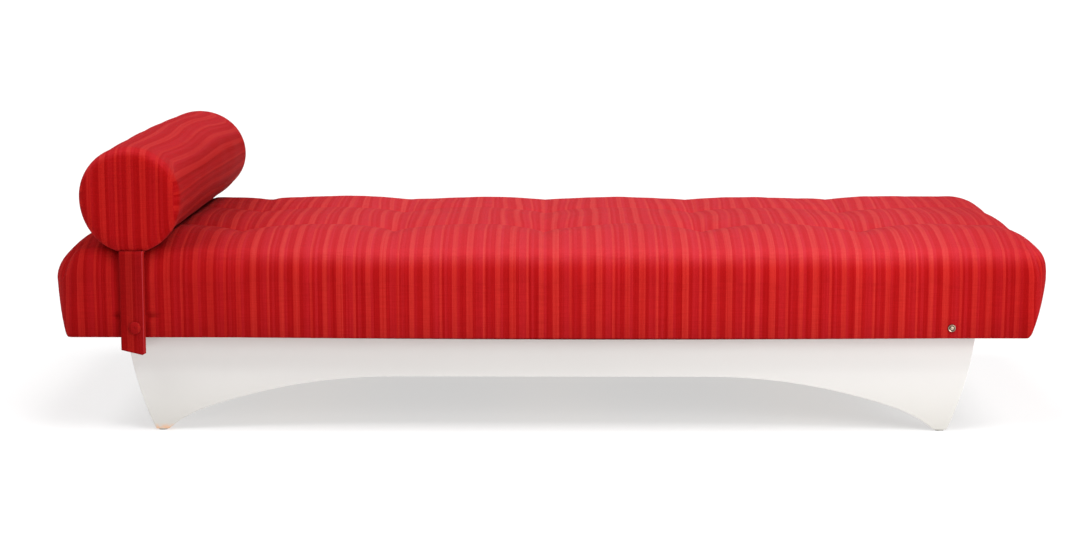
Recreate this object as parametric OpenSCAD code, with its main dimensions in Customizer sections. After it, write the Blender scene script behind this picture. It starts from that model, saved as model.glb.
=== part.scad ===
// Backless divan: a tufted striped mattress unit on an arched white base,
// with a bolster that two straps hold across one end.
// X runs along the divan, the front faces -Y, and Z = 0 is the floor.

/* [Mattress unit] */
// Length of the mattress unit at its fullest
mattress_len = 2030; // [1800:5:2200]
// Width of the mattress unit at its fullest
mattress_w = 820; // [740:5:960]
// Thickness from the underside to the crowns between the tufts
mattress_h = 204; // [190:1:230]
// Height above the underside at which the sides are fullest
bulge_h = 116; // [100:1:124]
// Height from the fullest line to where the side turns into the top
edge_rise = 56; // [48:1:64]
// How far the ends draw in from the fullest line to the underside
end_tuck = 25; // [10:1:30]
// How far the front and back draw in from the fullest line to the underside
side_tuck = 2; // [1:0.5:4]
// Rounding of the four corners, seen from above
corner_r = 70; // [50:1:90]
// Width of the rounding between front face and top
side_round = 30; // [26:1:40]
// Width of the rounding between end face and top
end_round = 55; // [40:1:70]
// Distance over which the top rises from the front edge to its full height
side_run = 140; // [110:1:170]
// Distance over which the top rises from the end to its full height
end_run = 110; // [80:1:140]

/* [Tufting] */
// Tufted cells along the divan
cells_long = 6; // [6:2:8]
// Tufted cells across the divan
cells_wide = 3; // [3:1:3]
// Depth of the creases between tufts
crease_drop = 13; // [6:1:14]
// Extra depth at each tuft
tuft_depth = 12; // [6:1:13]
// Diameter of the tufting twine
twine_d = 2.4; // [1.6:0.1:4]
// Diameter of the washers that the twine is tied to
washer_d = 24; // [18:1:36]
// Thickness of the washers
washer_t = 2; // [1.5:0.5:4]

/* [Mattress frame] */
// Thickness of the timber rails
rail_t = 28; // [20:1:34]
// Height of the timber rails
rail_h = 60; // [48:1:64]
// Distance from the bottom edge to the frame at the ends
frame_end_gap = 18; // [12:1:30]
// Distance from the bottom edge to the frame at front and back
frame_side_gap = 32; // [26:1:38]
// Thickness of the cloth folded under the frame
cloth_t = 2; // [1.5:0.5:3]
// Width of the cloth folded under the frame
fold_w = 30; // [20:1:50]
// Thickness of the deck board
deck_t = 6; // [4:1:9]
// Wadding and cloth between the foam and the foot of a tuft
wadding_t = 18; // [14:1:30]
// Thickness of the dust cover
dust_t = 1; // [0.8:0.1:1.4]
// Width of the battens that locate the unit on the base
batten_w = 40; // [30:1:60]
// Height of those battens
batten_h = 18; // [12:1:24]
// Room between a batten's end and the base board
batten_clear = 3; // [1:0.5:8]

/* [Base] */
// Height of the base from the floor to its top edge
base_h = 204; // [190:1:240]
// Thickness of the lacquered boards
board_t = 22; // [18:1:28]
// Distance from the fullest line of the mattress to the long boards
base_side_inset = 50; // [44:1:60]
// Distance from the end of the mattress to the top corner of the long boards
base_end_inset = 142; // [100:1:180]
// How far the sides of the long boards draw in down to the feet
foot_draw_in = 54; // [30:1:70]
// How far those sides bow outward between top and foot
side_bow = 8; // [4:1:12]
// Width of each foot at the floor
foot_w = 27; // [24:1:45]
// Height of the arch above the floor
arch_h = 114; // [96:1:118]
// Length of each gently curved flank of the arch
flank_run = 388; // [350:1:430]
// Length of the tighter curve between a flank and the foot
knee_run = 78; // [66:1:90]
// Height of that tighter curve
knee_rise = 45; // [42:1:56]
// Height of the boards that join the long ones
end_board_h = 120; // [100:1:130]
// Distance from the top corner of a long board to the joining board
end_board_inset = 40; // [36:1:60]
// Side of the square corner blocks
block_side = 36; // [30:1:45]
// Height of the corner blocks
block_h = 96; // [80:1:98]
// Side of the square battens inside the long boards
cleat_side = 28; // [22:1:34]
// Width of the bars across the base
bearer_w = 60; // [40:1:80]
// Height of the bars across the base
bearer_h = 34; // [28:1:40]
// Room between an outer bar and the locating batten beside it
bearer_gap = 38; // [20:1:60]
// Diameter of the foot glides
glide_d = 18; // [14:1:20]
// Thickness of the foot glides
glide_h = 3; // [2:0.5:5]
// Diameter of the nail of a glide
nail_d = 3; // [2:0.5:4]
// Length of the nail of a glide
nail_len = 14; // [8:1:20]

/* [Screws] */
// Diameter of the screw shanks
screw_d = 4; // [3:0.5:6]
// Diameter of the screw heads
screw_head_d = 8; // [7:0.5:10]
// Height of the countersunk heads
screw_head_h = 2.5; // [2:0.5:4]
// How far a screw goes into the second piece
screw_bite = 14; // [10:1:16]
// How far a frame screw goes into the second rail
rail_screw_bite = 40; // [25:1:60]

/* [Bolster] */
// Diameter of the bolster
bolster_d = 206; // [160:1:240]
// Distance from the end of the mattress to the bolster's axis
bolster_inset = 170; // [140:1:210]
// How far the bolster sinks into the crowns
bolster_sink = 20; // [10:1:24]
// How much fuller the bolster is at its middle than at its ends
bolster_crown = 2; // [1:0.5:4]
// Thickness of the cover with its wadding
bolster_wall = 10; // [6:1:14]
// How far the end discs dome outward
disc_dome = 9; // [4:1:11]
// Depth of an end disc at its seam
disc_depth = 8; // [6:1:14]

/* [Straps] */
// Width of the straps
strap_w = 50; // [40:1:60]
// Thickness of the straps, folded and sewn
strap_t = 3; // [2.5:0.5:4]
// How far the strap hangs below the mattress
strap_drop = 31; // [26:1:50]
// How much lower the strap's end is on one side
strap_skew = 8; // [2:1:12]
// Room between the mattress and the straps that hang in front of it
strap_gap = 4; // [3.6:0.1:6]
// How far the sewn root of the strap reaches under the bolster
tab_reach = 28; // [24:1:34]
// Diameter of the covered button
cap_d = 25; // [18:1:30]
// Height of the covered button
cap_h = 6; // [4:0.5:8]
// Height of the press studs above the underside
stud_rise = 22; // [18:1:30]
// Distance from the bare stud to the end of the mattress
spare_stud_inset = 201; // [150:1:260]
// Diameter of a stud's flange
stud_flange_d = 16; // [13:1:18]
// Thickness of a stud's flange
stud_flange_t = 1.5; // [1:0.1:1.7]
// Diameter of a stud's post
stud_post_d = 7; // [5:0.5:8]
// How far the post stands out of the flange
stud_post_h = 2.8; // [2.2:0.1:2.9]
// Outer diameter of the press socket
socket_d = 14; // [12:1:16]

/* [Hidden] */

// Fineness of small and of large round shapes
small_fn = 32;
large_fn = 180;

// Clearances
seat_gap = 0.3;
soft_gap = 0.3;
hole_gap = 0.15;
socket_gap = 0.4;
bore_gap = 0.25;
fold_gap = 0.6;
overrun = 1;

// Small sizes that stay the same on every size of the divan
stud_root = 4;
tab_sink = 1.2;
tail_cut = 6;
block_drop = 4;
rim_inset = 12;
rim_lip = 3;
twine_knot_d = 3 * twine_d;

// Places of screws as shares of the piece they hold
block_screw_shares = [0.25, 0.75];
end_screw_shares = [0.1, 0.6];
bearer_screw_shares = [-0.5, 0.5];
batten_screw_shares = [-0.7, 0, 0.7];
cleat_screw_count = 7;

// Points along the curves of the bolster, its discs and the covered buttons
crown_points = 8;
turn_points = 6;
dome_points = 10;
cap_rim_share = 0.2;

// Mattress unit, worked out from the sizes above
half_len = mattress_len / 2;
half_w = mattress_w / 2;
seat_z = base_h + seat_gap;
crown_rise = mattress_h - bulge_h - edge_rise;
frame_half_len = half_len - end_tuck - frame_end_gap;
frame_half_w = half_w - side_tuck - frame_side_gap;
rail_z = seat_z + cloth_t;
deck_z = rail_z + rail_h;
foam_z = deck_z + deck_t;

// Grid of the quilted top
cell_shares = [0, 0.12, 0.31, 0.5, 0.69, 0.88];
row_shares = [0, 0.15, 0.5, 0.85];
edge_line_share = 0.05;
puff_power_share = 0.6;
tuck_power = 1.5;
side_fade_share = 0.1;
end_fade_share = 0.5;
side_ring_shares = [0, 0.3, 0.65];
top_half_len = half_len - rim_inset;
top_half_w = half_w - rim_inset;
tuft_pitch_x = 2 * top_half_len / cells_long;
tuft_pitch_y = 2 * top_half_w / cells_wide;

// Where the tufts and the rails between them lie
tuft_xs = [for (i = [1:cells_long - 1]) (i - cells_long / 2) * tuft_pitch_x];
tuft_ys = [for (j = [1:cells_wide - 1]) (j - cells_wide / 2) * tuft_pitch_y];
middle_xs = [for (k = [1:cells_long - 2]) (k + 0.5 - cells_long / 2) * tuft_pitch_x];
batten_x = middle_xs[len(middle_xs) - 1];

// Base
board_y = half_w - base_side_inset;
inner_y = board_y - board_t;
board_top_x = half_len - base_end_inset;
foot_x = board_top_x - foot_draw_in;
board_rise = base_h - glide_h;
end_board_x = board_top_x - end_board_inset;
side_chord = norm([foot_draw_in, board_rise]);
side_r = (side_chord * side_chord / 4 + side_bow * side_bow) / (2 * side_bow);
side_tilt = atan2(foot_draw_in, board_rise);
block_x = end_board_x - board_t;
block_z = base_h - block_drop - block_h;
cleat_z = base_h - bearer_h - cleat_side;
cleat_half_len = block_x - block_side;
cleat_screw_span = cleat_half_len - block_side;
bearer_x = batten_x + batten_w / 2 + bearer_gap + bearer_w / 2;

// Arch, cut as a flat middle, two gentle flanks and a tighter knee at each foot
arch_rise = arch_h - glide_h;
arch_end = foot_x - foot_w;
knee_x = arch_end - knee_run;
arch_flat = 2 * (knee_x - flank_run);
flank_drop = arch_rise - knee_rise;
flank_r = (flank_run * flank_run + flank_drop * flank_drop) / (2 * flank_drop);
flank_tilt = asin(flank_run / flank_r);
knee_r = norm([knee_run, knee_rise]) / (2 * sin(atan2(knee_rise, knee_run) - flank_tilt));

// Bolster and straps
bolster_r = bolster_d / 2;
bolster_x = bolster_inset - half_len;
bolster_z = seat_z + mattress_h - bolster_sink + bolster_r;
bolster_half = half_w;
disc_r = bolster_r - bolster_wall;
core_r = disc_r - soft_gap;
strap_y = half_w + strap_gap;
fold_z = bolster_z - bolster_r + bolster_crown - strap_t / 2;
fold_y = strap_y + strap_t / 2;
tail_z = seat_z - strap_drop;
snap_z = seat_z + stud_rise;
spare_stud_x = half_len - spare_stud_inset;
stud_face_y = half_w - side_inset_at(stud_rise);
flange_y = stud_face_y + stud_flange_t;
socket_y = max(flange_y + socket_gap, half_w + soft_gap);
socket_t = strap_y - socket_y;
socket_bore = stud_post_d + 2 * bore_gap;

// How far the sides draw in at a height below the fullest line
function tuck_at(height, tuck) = tuck * pow(1 - height / bulge_h, tuck_power);

// The same on the front face, along the straight line between two rings
function side_inset_at(height) =
    let (top = side_ring_shares[1] * bulge_h)
    side_tuck + (tuck_at(top, side_tuck) - side_tuck) * height / top;

// Quarter ellipse that turns a side into the top
function turn(share) = share >= 1 ? 1 : sqrt(1 - pow(1 - share, 2));

// Gentle rise of the top behind its edge
function swell(share) = share >= 1 ? 1 : sin(90 * share);

// Loaf shape of the top at distances from the end and from the side
function loaf(from_end, from_side) =
    bulge_h
    + edge_rise * turn(from_end / end_round) * turn(from_side / side_round)
    + crown_rise * swell(from_end / end_run) * swell(from_side / side_run);

// Fullness between two creases, from 0 on a crease to 1 in mid cell
function puff(share, cells) =
    let (place = (share + 1) / 2 * cells, within = place - floor(place))
    abs(share) > 1 - 1 / cells ? 1 : pow(sin(180 * within), puff_power_share);

// A crease fades from the outermost tufts to the edge
function fade(share, cells, rest) =
    let (start = 1 - 2 / cells, t = max(0, (abs(share) - start) / (1 - start)))
    1 - (1 - rest) * (1 - cos(180 * t)) / 2;

// How far creases and tufts pull the top down
function pull(u, v) =
    let (hollow_x = 1 - puff(u, cells_long), hollow_y = 1 - puff(v, cells_wide))
    crease_drop * hollow_x * fade(v, cells_wide, side_fade_share)
    + crease_drop * hollow_y * fade(u, cells_long, end_fade_share)
    + tuft_depth * hollow_x * hollow_y;

// Plan point of the square place (u, v) on an outline drawn in by two insets
function plan(u, v, end_inset, side_inset) =
    let (
        half = [half_len - end_inset, half_w - side_inset],
        r = max(corner_r - max(end_inset, side_inset), rim_lip),
        p = [abs(u) * half.x, abs(v) * half.y],
        d = p - half + [r, r],
        out = max(d.x, d.y) / max(norm(d), rim_lip / r),
        q = min(d.x, d.y) > 0 ? half - [r, r] + d * out : p
    )
    [sign(u) * q.x, sign(v) * q.y];

// Lines of the top grid, closer together beside the creases and the edge
function grid_lines(cells, shares) = concat(
    [-1, -1 + 2 * edge_line_share / cells],
    [for (c = [0:cells - 1], s = shares) if (c + s > 0) -1 + 2 * (c + s) / cells],
    [1 - 2 * edge_line_share / cells, 1]
);

// Height of the top at a tuft, above the underside
tuft_rise = loaf(half_len, half_w) - 2 * crease_drop - tuft_depth;

// Foam that fills the height between the deck and the wadding
cavity_top = seat_z + tuft_rise - wadding_t;
foam_t = cavity_top - soft_gap - foam_z;

us = grid_lines(cells_long, cell_shares);
vs = grid_lines(cells_wide, row_shares);
nu = len(us);
nv = len(vs);
ring_size = 2 * (nu + nv) - 4;

// Walk round the edge of the grid, as places [i, j]
walk = concat(
    [for (i = [0:nu - 1]) [i, 0]],
    [for (j = [1:nv - 1]) [nu - 1, j]],
    [for (i = [nu - 2:-1:0]) [i, nv - 1]],
    [for (j = [nv - 2:-1:1]) [0, j]]
);

function low_ring(share) = [for (w = walk)
    let (h = share * bulge_h)
    concat(plan(us[w.x], vs[w.y], tuck_at(h, end_tuck), tuck_at(h, side_tuck)), seat_z + h)];

function lip_ring(inset, pull_share) = [for (w = walk)
    let (
        u = us[w.x],
        v = vs[w.y],
        from_end = half_len - abs(u) * (half_len - inset),
        from_side = half_w - abs(v) * (half_w - inset)
    )
    concat(plan(u, v, inset, inset), seat_z + loaf(from_end, from_side) - pull_share * pull(u, v))];

top_points = [for (j = [0:nv - 1], i = [0:nu - 1])
    let (
        u = us[i],
        v = vs[j],
        from_end = half_len - abs(u) * top_half_len,
        from_side = half_w - abs(v) * top_half_w
    )
    concat(plan(u, v, rim_inset, rim_inset), seat_z + loaf(from_end, from_side) - pull(u, v))];

side_rings = [
    for (s = side_ring_shares) low_ring(s),
    lip_ring(0, 0),
    lip_ring(rim_lip, end_fade_share)
];
ring_points = [for (ring = side_rings, p = ring) p];
ring_count = len(side_rings);
top_start = len(ring_points);

// Index of a point of the walk on a side ring, or on the edge of the top grid
function ring_index(ring, k) =
    let (m = k % ring_size)
    ring < ring_count ? ring * ring_size + m : top_start + walk[m].y * nu + walk[m].x;

side_faces = [for (ring = [0:ring_count - 1], k = [0:ring_size - 1])
    for (t = [
        [ring_index(ring, k), ring_index(ring + 1, k), ring_index(ring + 1, k + 1)],
        [ring_index(ring, k), ring_index(ring + 1, k + 1), ring_index(ring, k + 1)]
    ]) t];

// Each square of the top is split so that its diagonal points at the nearest tuft
top_faces = [for (j = [0:nv - 2], i = [0:nu - 2])
    let (
        a = top_start + j * nu + i,
        b = a + 1,
        c = a + nu + 1,
        d = a + nu,
        lean = (us[i] + us[i + 1]) * (vs[j] + vs[j + 1]) > 0
    )
    for (t = lean ? [[a, c, b], [a, d, c]] : [[a, d, b], [b, d, c]]) t];

bottom_face = [[for (k = [0:ring_size - 1]) k]];

module soft_loaf() {
    polyhedron(
        points = concat(ring_points, top_points),
        faces = concat(bottom_face, side_faces, top_faces),
        convexity = 6
    );
}

// Block centred on the Z axis, standing on the given height
module slab(len_x, len_y, z, height) {
    translate([-len_x / 2, -len_y / 2, z]) cube([len_x, len_y, height]);
}

// Countersunk screw that points down from the origin, or its hole
module screw(length, gap = 0) {
    translate([0, 0, -length - gap])
        cylinder(d = screw_d + 2 * gap, h = length + gap, $fn = small_fn);
    translate([0, 0, -screw_head_h - gap])
        cylinder(d1 = screw_d + 2 * gap, d2 = screw_head_d + 2 * gap, h = screw_head_h + gap, $fn = small_fn);
}

// Base

module long_board_outline() {
    bow_x = (board_top_x + foot_x) / 2 - (side_r - side_bow) * cos(side_tilt);
    bow_z = board_rise / 2 + (side_r - side_bow) * sin(side_tilt);
    difference() {
        union() {
            translate([-arch_flat / 2, 0]) square([arch_flat, board_rise]);
            for (side = [0, 1]) mirror([side, 0])
                intersection() {
                    translate([bow_x, bow_z]) circle(r = side_r, $fn = large_fn);
                    translate([arch_flat / 2, 0]) square([board_top_x, board_rise]);
                }
        }
        arch_outline();
    }
}

// The open arch, from just below the board up to its curved edge
module arch_outline() {
    translate([-arch_flat / 2, -overrun]) square([arch_flat, arch_rise + overrun]);
    for (side = [0, 1]) mirror([side, 0]) {
        intersection() {
            translate([arch_flat / 2, arch_rise - flank_r]) circle(r = flank_r, $fn = large_fn);
            translate([arch_flat / 2 - overrun, -overrun]) square([flank_run + overrun, arch_rise + overrun]);
        }
        intersection() {
            translate([knee_x, knee_rise] - knee_r * [sin(flank_tilt), cos(flank_tilt)])
                circle(r = knee_r, $fn = large_fn);
            translate([knee_x - overrun, -overrun]) square([knee_run + foot_w, knee_rise + 2 * overrun]);
        }
    }
}

// Board of the front; the back one is its mirror image
module long_board() {
    difference() {
        translate([0, -inner_y, glide_h]) rotate([90, 0, 0])
            linear_extrude(board_t) long_board_outline();
        for_block_screws() screw(block_side + screw_bite, hole_gap);
        for_cleat_screws() screw(cleat_side + screw_bite, hole_gap);
        for_feet() glide_nail(hole_gap);
    }
}

module front_panel() { color([0.93, 0.93, 0.91]) long_board(); }

module back_panel() { color([0.93, 0.93, 0.91]) mirror([0, 1, 0]) long_board(); }

module end_board() {
    difference() {
        translate([end_board_x - board_t, -inner_y, base_h - end_board_h])
            cube([board_t, 2 * inner_y, end_board_h]);
        for (side = [0, 1]) mirror([0, side, 0]) for_end_screws() screw(block_side + screw_bite, hole_gap);
    }
}

module right_end_panel() { color([0.9, 0.9, 0.88]) end_board(); }

module left_end_panel() { color([0.9, 0.9, 0.88]) mirror([1, 0, 0]) end_board(); }

// Screws through both front blocks into the front board
module for_block_screws() {
    for (side = [0, 1]) mirror([side, 0, 0])
        for (share = block_screw_shares)
            translate([block_x - block_side / 2, block_side - inner_y, block_z + share * block_h])
                rotate([-90, 0, 0]) children();
}

// Screws through the front right block into the end board
module for_end_screws() {
    for (share = end_screw_shares)
        translate([block_x - block_side, block_side / 2 - inner_y, block_z + share * block_h + screw_head_d])
            rotate([0, -90, 0]) children();
}

module corner_blocks() {
    color("burlywood")
        for (side = [0, 1]) mirror([0, side, 0])
            difference() {
                for (end = [0, 1]) mirror([end, 0, 0])
                    translate([block_x - block_side, -inner_y, block_z])
                        cube([block_side, block_side, block_h]);
                for_block_screws() screw(block_side + screw_bite, hole_gap);
                for (end = [0, 1]) mirror([end, 0, 0])
                    for_end_screws() screw(block_side + screw_bite, hole_gap);
            }
}

module block_screws() {
    color("silver")
        for (side = [0, 1]) mirror([0, side, 0]) {
            for_block_screws() screw(block_side + screw_bite);
            for (end = [0, 1]) mirror([end, 0, 0]) for_end_screws() screw(block_side + screw_bite);
        }
}

// Screws through the front cleat into the front board
module for_cleat_screws() {
    for (k = [0:cleat_screw_count - 1])
        translate([
            cleat_screw_span * (2 * k / (cleat_screw_count - 1) - 1),
            cleat_side - inner_y,
            cleat_z + cleat_side / 2
        ]) rotate([-90, 0, 0]) children();
}

// Screws down through the bearers into the front cleat
module for_bearer_screws() {
    for (x = [-bearer_x, 0, bearer_x], share = bearer_screw_shares)
        translate([x + share * bearer_w / 2, cleat_side / 2 - inner_y, base_h]) children();
}

module cleat() {
    difference() {
        translate([-cleat_half_len, -inner_y, cleat_z]) cube([2 * cleat_half_len, cleat_side, cleat_side]);
        for_cleat_screws() screw(cleat_side + screw_bite, hole_gap);
        for_bearer_screws() screw(bearer_h + screw_bite, hole_gap);
    }
}

module front_cleat() { color("burlywood") cleat(); }

module back_cleat() { color("burlywood") mirror([0, 1, 0]) cleat(); }

module cleat_screws() {
    color("silver")
        for (side = [0, 1]) mirror([0, side, 0]) for_cleat_screws() screw(cleat_side + screw_bite);
}

module cross_bearers() {
    color("burlywood")
        difference() {
            for (x = [-bearer_x, 0, bearer_x]) translate([x, 0, 0])
                slab(bearer_w, 2 * inner_y, base_h - bearer_h, bearer_h);
            for (side = [0, 1]) mirror([0, side, 0])
                for_bearer_screws() screw(bearer_h + screw_bite, hole_gap);
        }
}

module bearer_screws() {
    color("silver")
        for (side = [0, 1]) mirror([0, side, 0]) for_bearer_screws() screw(bearer_h + screw_bite);
}

// Places of the two front feet, at the floor
module for_feet() {
    for (side = [-1, 1]) translate([side * (foot_x - foot_w / 2), -board_y + board_t / 2, 0]) children();
}

module glide_nail(gap = 0) {
    cylinder(d = nail_d + 2 * gap, h = glide_h + nail_len + gap, $fn = small_fn);
}

module foot_glides() {
    color("dimgray")
        for (side = [0, 1]) mirror([0, side, 0]) for_feet() {
            cylinder(d = glide_d, h = glide_h, $fn = small_fn);
            glide_nail();
        }
}

// Timber frame of the mattress unit

// Screws from the front rail into every rail that meets it
module for_rail_screws() {
    joint_xs = concat([rail_t / 2 - frame_half_len, frame_half_len - rail_t / 2], middle_xs);
    for (x = joint_xs, share = block_screw_shares)
        translate([x, -frame_half_w, rail_z + share * rail_h]) rotate([90, 0, 0]) children();
}

module long_rail() {
    difference() {
        translate([-frame_half_len, -frame_half_w, rail_z]) cube([2 * frame_half_len, rail_t, rail_h]);
        for_rail_screws() screw(rail_t + rail_screw_bite, hole_gap);
    }
}

module front_rail() { color("burlywood") long_rail(); }

module back_rail() { color("burlywood") mirror([0, 1, 0]) long_rail(); }

// A rail across the unit between the long ones
module short_rail(x) {
    difference() {
        translate([x, 0, 0]) slab(rail_t, 2 * (frame_half_w - rail_t), rail_z, rail_h);
        for (side = [0, 1]) mirror([0, side, 0])
            for_rail_screws() screw(rail_t + rail_screw_bite, hole_gap);
        for_batten_screws() screw(batten_h + screw_bite, hole_gap);
    }
}

module left_rail() { color("burlywood") short_rail(rail_t / 2 - frame_half_len); }

module right_rail() { color("burlywood") short_rail(frame_half_len - rail_t / 2); }

module middle_rails() { color("burlywood") for (x = middle_xs) short_rail(x); }

module rail_screws() {
    color("silver")
        for (side = [0, 1]) mirror([0, side, 0]) for_rail_screws() screw(rail_t + rail_screw_bite);
}

// Screws up through the locating battens into the rails above them
module for_batten_screws() {
    for (x = [-batten_x, batten_x], share = batten_screw_shares)
        translate([x, share * (inner_y - batten_clear), rail_z - dust_t - batten_h])
            rotate([180, 0, 0]) children();
}

module locating_battens() {
    color("burlywood")
        difference() {
            for (x = [-batten_x, batten_x]) translate([x, 0, 0])
                slab(batten_w, 2 * (inner_y - batten_clear), rail_z - dust_t - batten_h, batten_h);
            for_batten_screws() screw(batten_h + screw_bite, hole_gap);
        }
}

module batten_screws() { color("silver") for_batten_screws() screw(batten_h + screw_bite); }

module for_tufts() {
    for (x = tuft_xs, y = tuft_ys) translate([x, y, 0]) children();
}

module deck_board() {
    color("tan")
        difference() {
            slab(2 * frame_half_len, 2 * frame_half_w, deck_z, deck_t);
            for_tufts() translate([0, 0, deck_z - overrun])
                cylinder(d = twine_d + 2 * soft_gap, h = deck_t + 2 * overrun, $fn = small_fn);
        }
}

// Filling and cover of the mattress unit

module foam_core() {
    color("khaki")
        difference() {
            slab(2 * (frame_half_len - soft_gap), 2 * (frame_half_w - soft_gap), foam_z, foam_t);
            for_tufts() translate([0, 0, foam_z - overrun])
                cylinder(d = twine_d + 2 * soft_gap, h = foam_t + 2 * overrun, $fn = small_fn);
        }
}

module tuft_twines() {
    color("firebrick")
        for_tufts() {
            translate([0, 0, deck_z - washer_t])
                cylinder(d = twine_d, h = seat_z + tuft_rise - deck_z + washer_t - soft_gap, $fn = small_fn);
            translate([0, 0, deck_z - washer_t - twine_d])
                cylinder(d = twine_knot_d, h = twine_d, $fn = small_fn);
        }
}

module tuft_washers() {
    color("silver")
        for_tufts() translate([0, 0, deck_z - washer_t])
            difference() {
                cylinder(d = washer_d, h = washer_t, $fn = small_fn);
                translate([0, 0, -overrun])
                    cylinder(d = twine_d + 2 * soft_gap, h = washer_t + 2 * overrun, $fn = small_fn);
            }
}

module mattress_cover() {
    color([0.75, 0.12, 0.12])
        difference() {
            soft_loaf();
            slab(2 * (frame_half_len + soft_gap), 2 * (frame_half_w + soft_gap), rail_z, cavity_top - rail_z);
            slab(
                2 * (frame_half_len - fold_w),
                2 * (frame_half_w - fold_w),
                seat_z - overrun,
                cloth_t + 2 * overrun
            );
            translate([bolster_x, half_w + overrun, bolster_z]) rotate([90, 0, 0])
                cylinder(r = bolster_r + soft_gap, h = mattress_w + 2 * overrun, $fn = large_fn);
        }
}

module dust_cover() {
    color([0.15, 0.15, 0.15])
        difference() {
            slab(
                2 * (frame_half_len - fold_w - soft_gap),
                2 * (frame_half_w - fold_w - soft_gap),
                rail_z - dust_t,
                dust_t
            );
            for_batten_screws() screw(batten_h + screw_bite, hole_gap);
        }
}

// Press studs, on the front face; the back ones are their mirror image

module stud(x) {
    translate([x, -flange_y, snap_z]) rotate([90, 0, 0]) {
        translate([0, 0, -stud_flange_t - stud_root])
            cylinder(d = stud_post_d, h = stud_root + stud_flange_t + stud_post_h, $fn = small_fn);
        translate([0, 0, -stud_flange_t]) cylinder(d = stud_flange_d, h = stud_flange_t, $fn = small_fn);
    }
}

module front_studs() { color("silver") for (x = [bolster_x, spare_stud_x]) stud(x); }

module back_studs() { color("silver") mirror([0, 1, 0]) for (x = [bolster_x, spare_stud_x]) stud(x); }

// Bolster

// Turns a shape that stands on the Z axis so that its top faces the front
module along_bolster() {
    translate([bolster_x, 0, bolster_z]) rotate([90, 0, 0]) children();
}

module bolster_cover() {
    straight = bolster_half - bolster_wall;
    outer = concat(
        [for (k = [turn_points:-1:0]) let (a = 90 * k / turn_points)
            [disc_r + (bolster_wall - bolster_crown) * cos(a), -straight - bolster_wall * sin(a)]],
        [for (k = [1:2 * crown_points - 1]) let (s = k / crown_points - 1)
            [bolster_r - bolster_crown * s * s, straight * s]],
        [for (k = [0:turn_points]) let (a = 90 * k / turn_points)
            [disc_r + (bolster_wall - bolster_crown) * cos(a), straight + bolster_wall * sin(a)]]
    );
    color([0.75, 0.12, 0.12])
        along_bolster() rotate_extrude($fn = large_fn) polygon(outer);
}

// End disc that faces the front, domed and flat behind
module bolster_disc() {
    rim_t = bolster_half - disc_depth;
    along_bolster() rotate_extrude($fn = large_fn)
        polygon(concat(
            [[0, rim_t - disc_depth], [core_r, rim_t - disc_depth]],
            [for (k = [dome_points:-1:0]) let (s = k / dome_points)
                [core_r * s, rim_t + (disc_depth + disc_dome) * (1 - s * s)]]
        ));
}

module bolster_front_disc() { color([0.7, 0.1, 0.12]) bolster_disc(); }

module bolster_back_disc() { color([0.7, 0.1, 0.12]) mirror([0, 1, 0]) bolster_disc(); }

module bolster_core() {
    core_half = bolster_half - 2 * disc_depth - soft_gap;
    color("khaki")
        along_bolster() translate([0, 0, -core_half]) cylinder(r = core_r, h = 2 * core_half, $fn = large_fn);
}

// Straps, on the front; the back ones are their mirror image

module strap_tab() {
    translate([bolster_x - strap_w / 2, fold_gap - fold_y + strap_t / 2, fold_z - strap_t / 2])
        cube([strap_w, tab_reach, strap_t + tab_sink]);
}

module front_strap_tab() { color([0.7, 0.1, 0.12]) strap_tab(); }

module back_strap_tab() { color([0.7, 0.1, 0.12]) mirror([0, 1, 0]) strap_tab(); }

module strap_outline() {
    polygon([
        [-strap_w / 2, fold_z],
        [-strap_w / 2, tail_z + strap_skew],
        [strap_w / 2 - tail_cut, tail_z],
        [strap_w / 2, tail_z + tail_cut],
        [strap_w / 2, fold_z]
    ]);
}

module strap() {
    translate([bolster_x, -strap_y, 0]) rotate([90, 0, 0]) linear_extrude(strap_t) strap_outline();
    translate([bolster_x - strap_w / 2, -fold_y, fold_z]) rotate([0, 90, 0])
        cylinder(d = strap_t, h = strap_w, $fn = small_fn);
}

module front_strap() { color([0.7, 0.1, 0.12]) strap(); }

module back_strap() { color([0.7, 0.1, 0.12]) mirror([0, 1, 0]) strap(); }

module cap() {
    translate([bolster_x, -strap_y - strap_t, snap_z]) rotate([90, 0, 0]) rotate_extrude($fn = small_fn)
        polygon(concat(
            [[0, 0]],
            [for (k = [0:turn_points]) let (a = 90 * k / turn_points)
                [cap_d / 2 * cos(a), cap_h * (cap_rim_share + (1 - cap_rim_share) * sin(a))]]
        ));
}

module front_cap() { color([0.65, 0.08, 0.12]) cap(); }

module back_cap() { color([0.65, 0.08, 0.12]) mirror([0, 1, 0]) cap(); }

// Ring that presses over the stud, open downward
module socket() {
    translate([bolster_x, -strap_y + socket_t, snap_z]) rotate([90, 0, 0])
        difference() {
            cylinder(d = socket_d, h = socket_t, $fn = small_fn);
            translate([0, 0, -overrun]) cylinder(d = socket_bore, h = socket_t + 2 * overrun, $fn = small_fn);
            translate([-socket_bore / 2, -socket_d, -overrun])
                cube([socket_bore, socket_d, socket_t + 2 * overrun]);
        }
}

module front_socket() { color("silver") socket(); }

module back_socket() { color("silver") mirror([0, 1, 0]) socket(); }

front_panel();
back_panel();
left_end_panel();
right_end_panel();
corner_blocks();
block_screws();
front_cleat();
back_cleat();
cleat_screws();
cross_bearers();
bearer_screws();
foot_glides();
front_rail();
back_rail();
left_rail();
right_rail();
middle_rails();
rail_screws();
deck_board();
foam_core();
tuft_twines();
tuft_washers();
mattress_cover();
dust_cover();
locating_battens();
batten_screws();
front_studs();
back_studs();
bolster_cover();
bolster_front_disc();
bolster_back_disc();
bolster_core();
front_strap_tab();
back_strap_tab();
front_strap();
front_cap();
front_socket();
back_strap();
back_cap();
back_socket();
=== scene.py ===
import math

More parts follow.
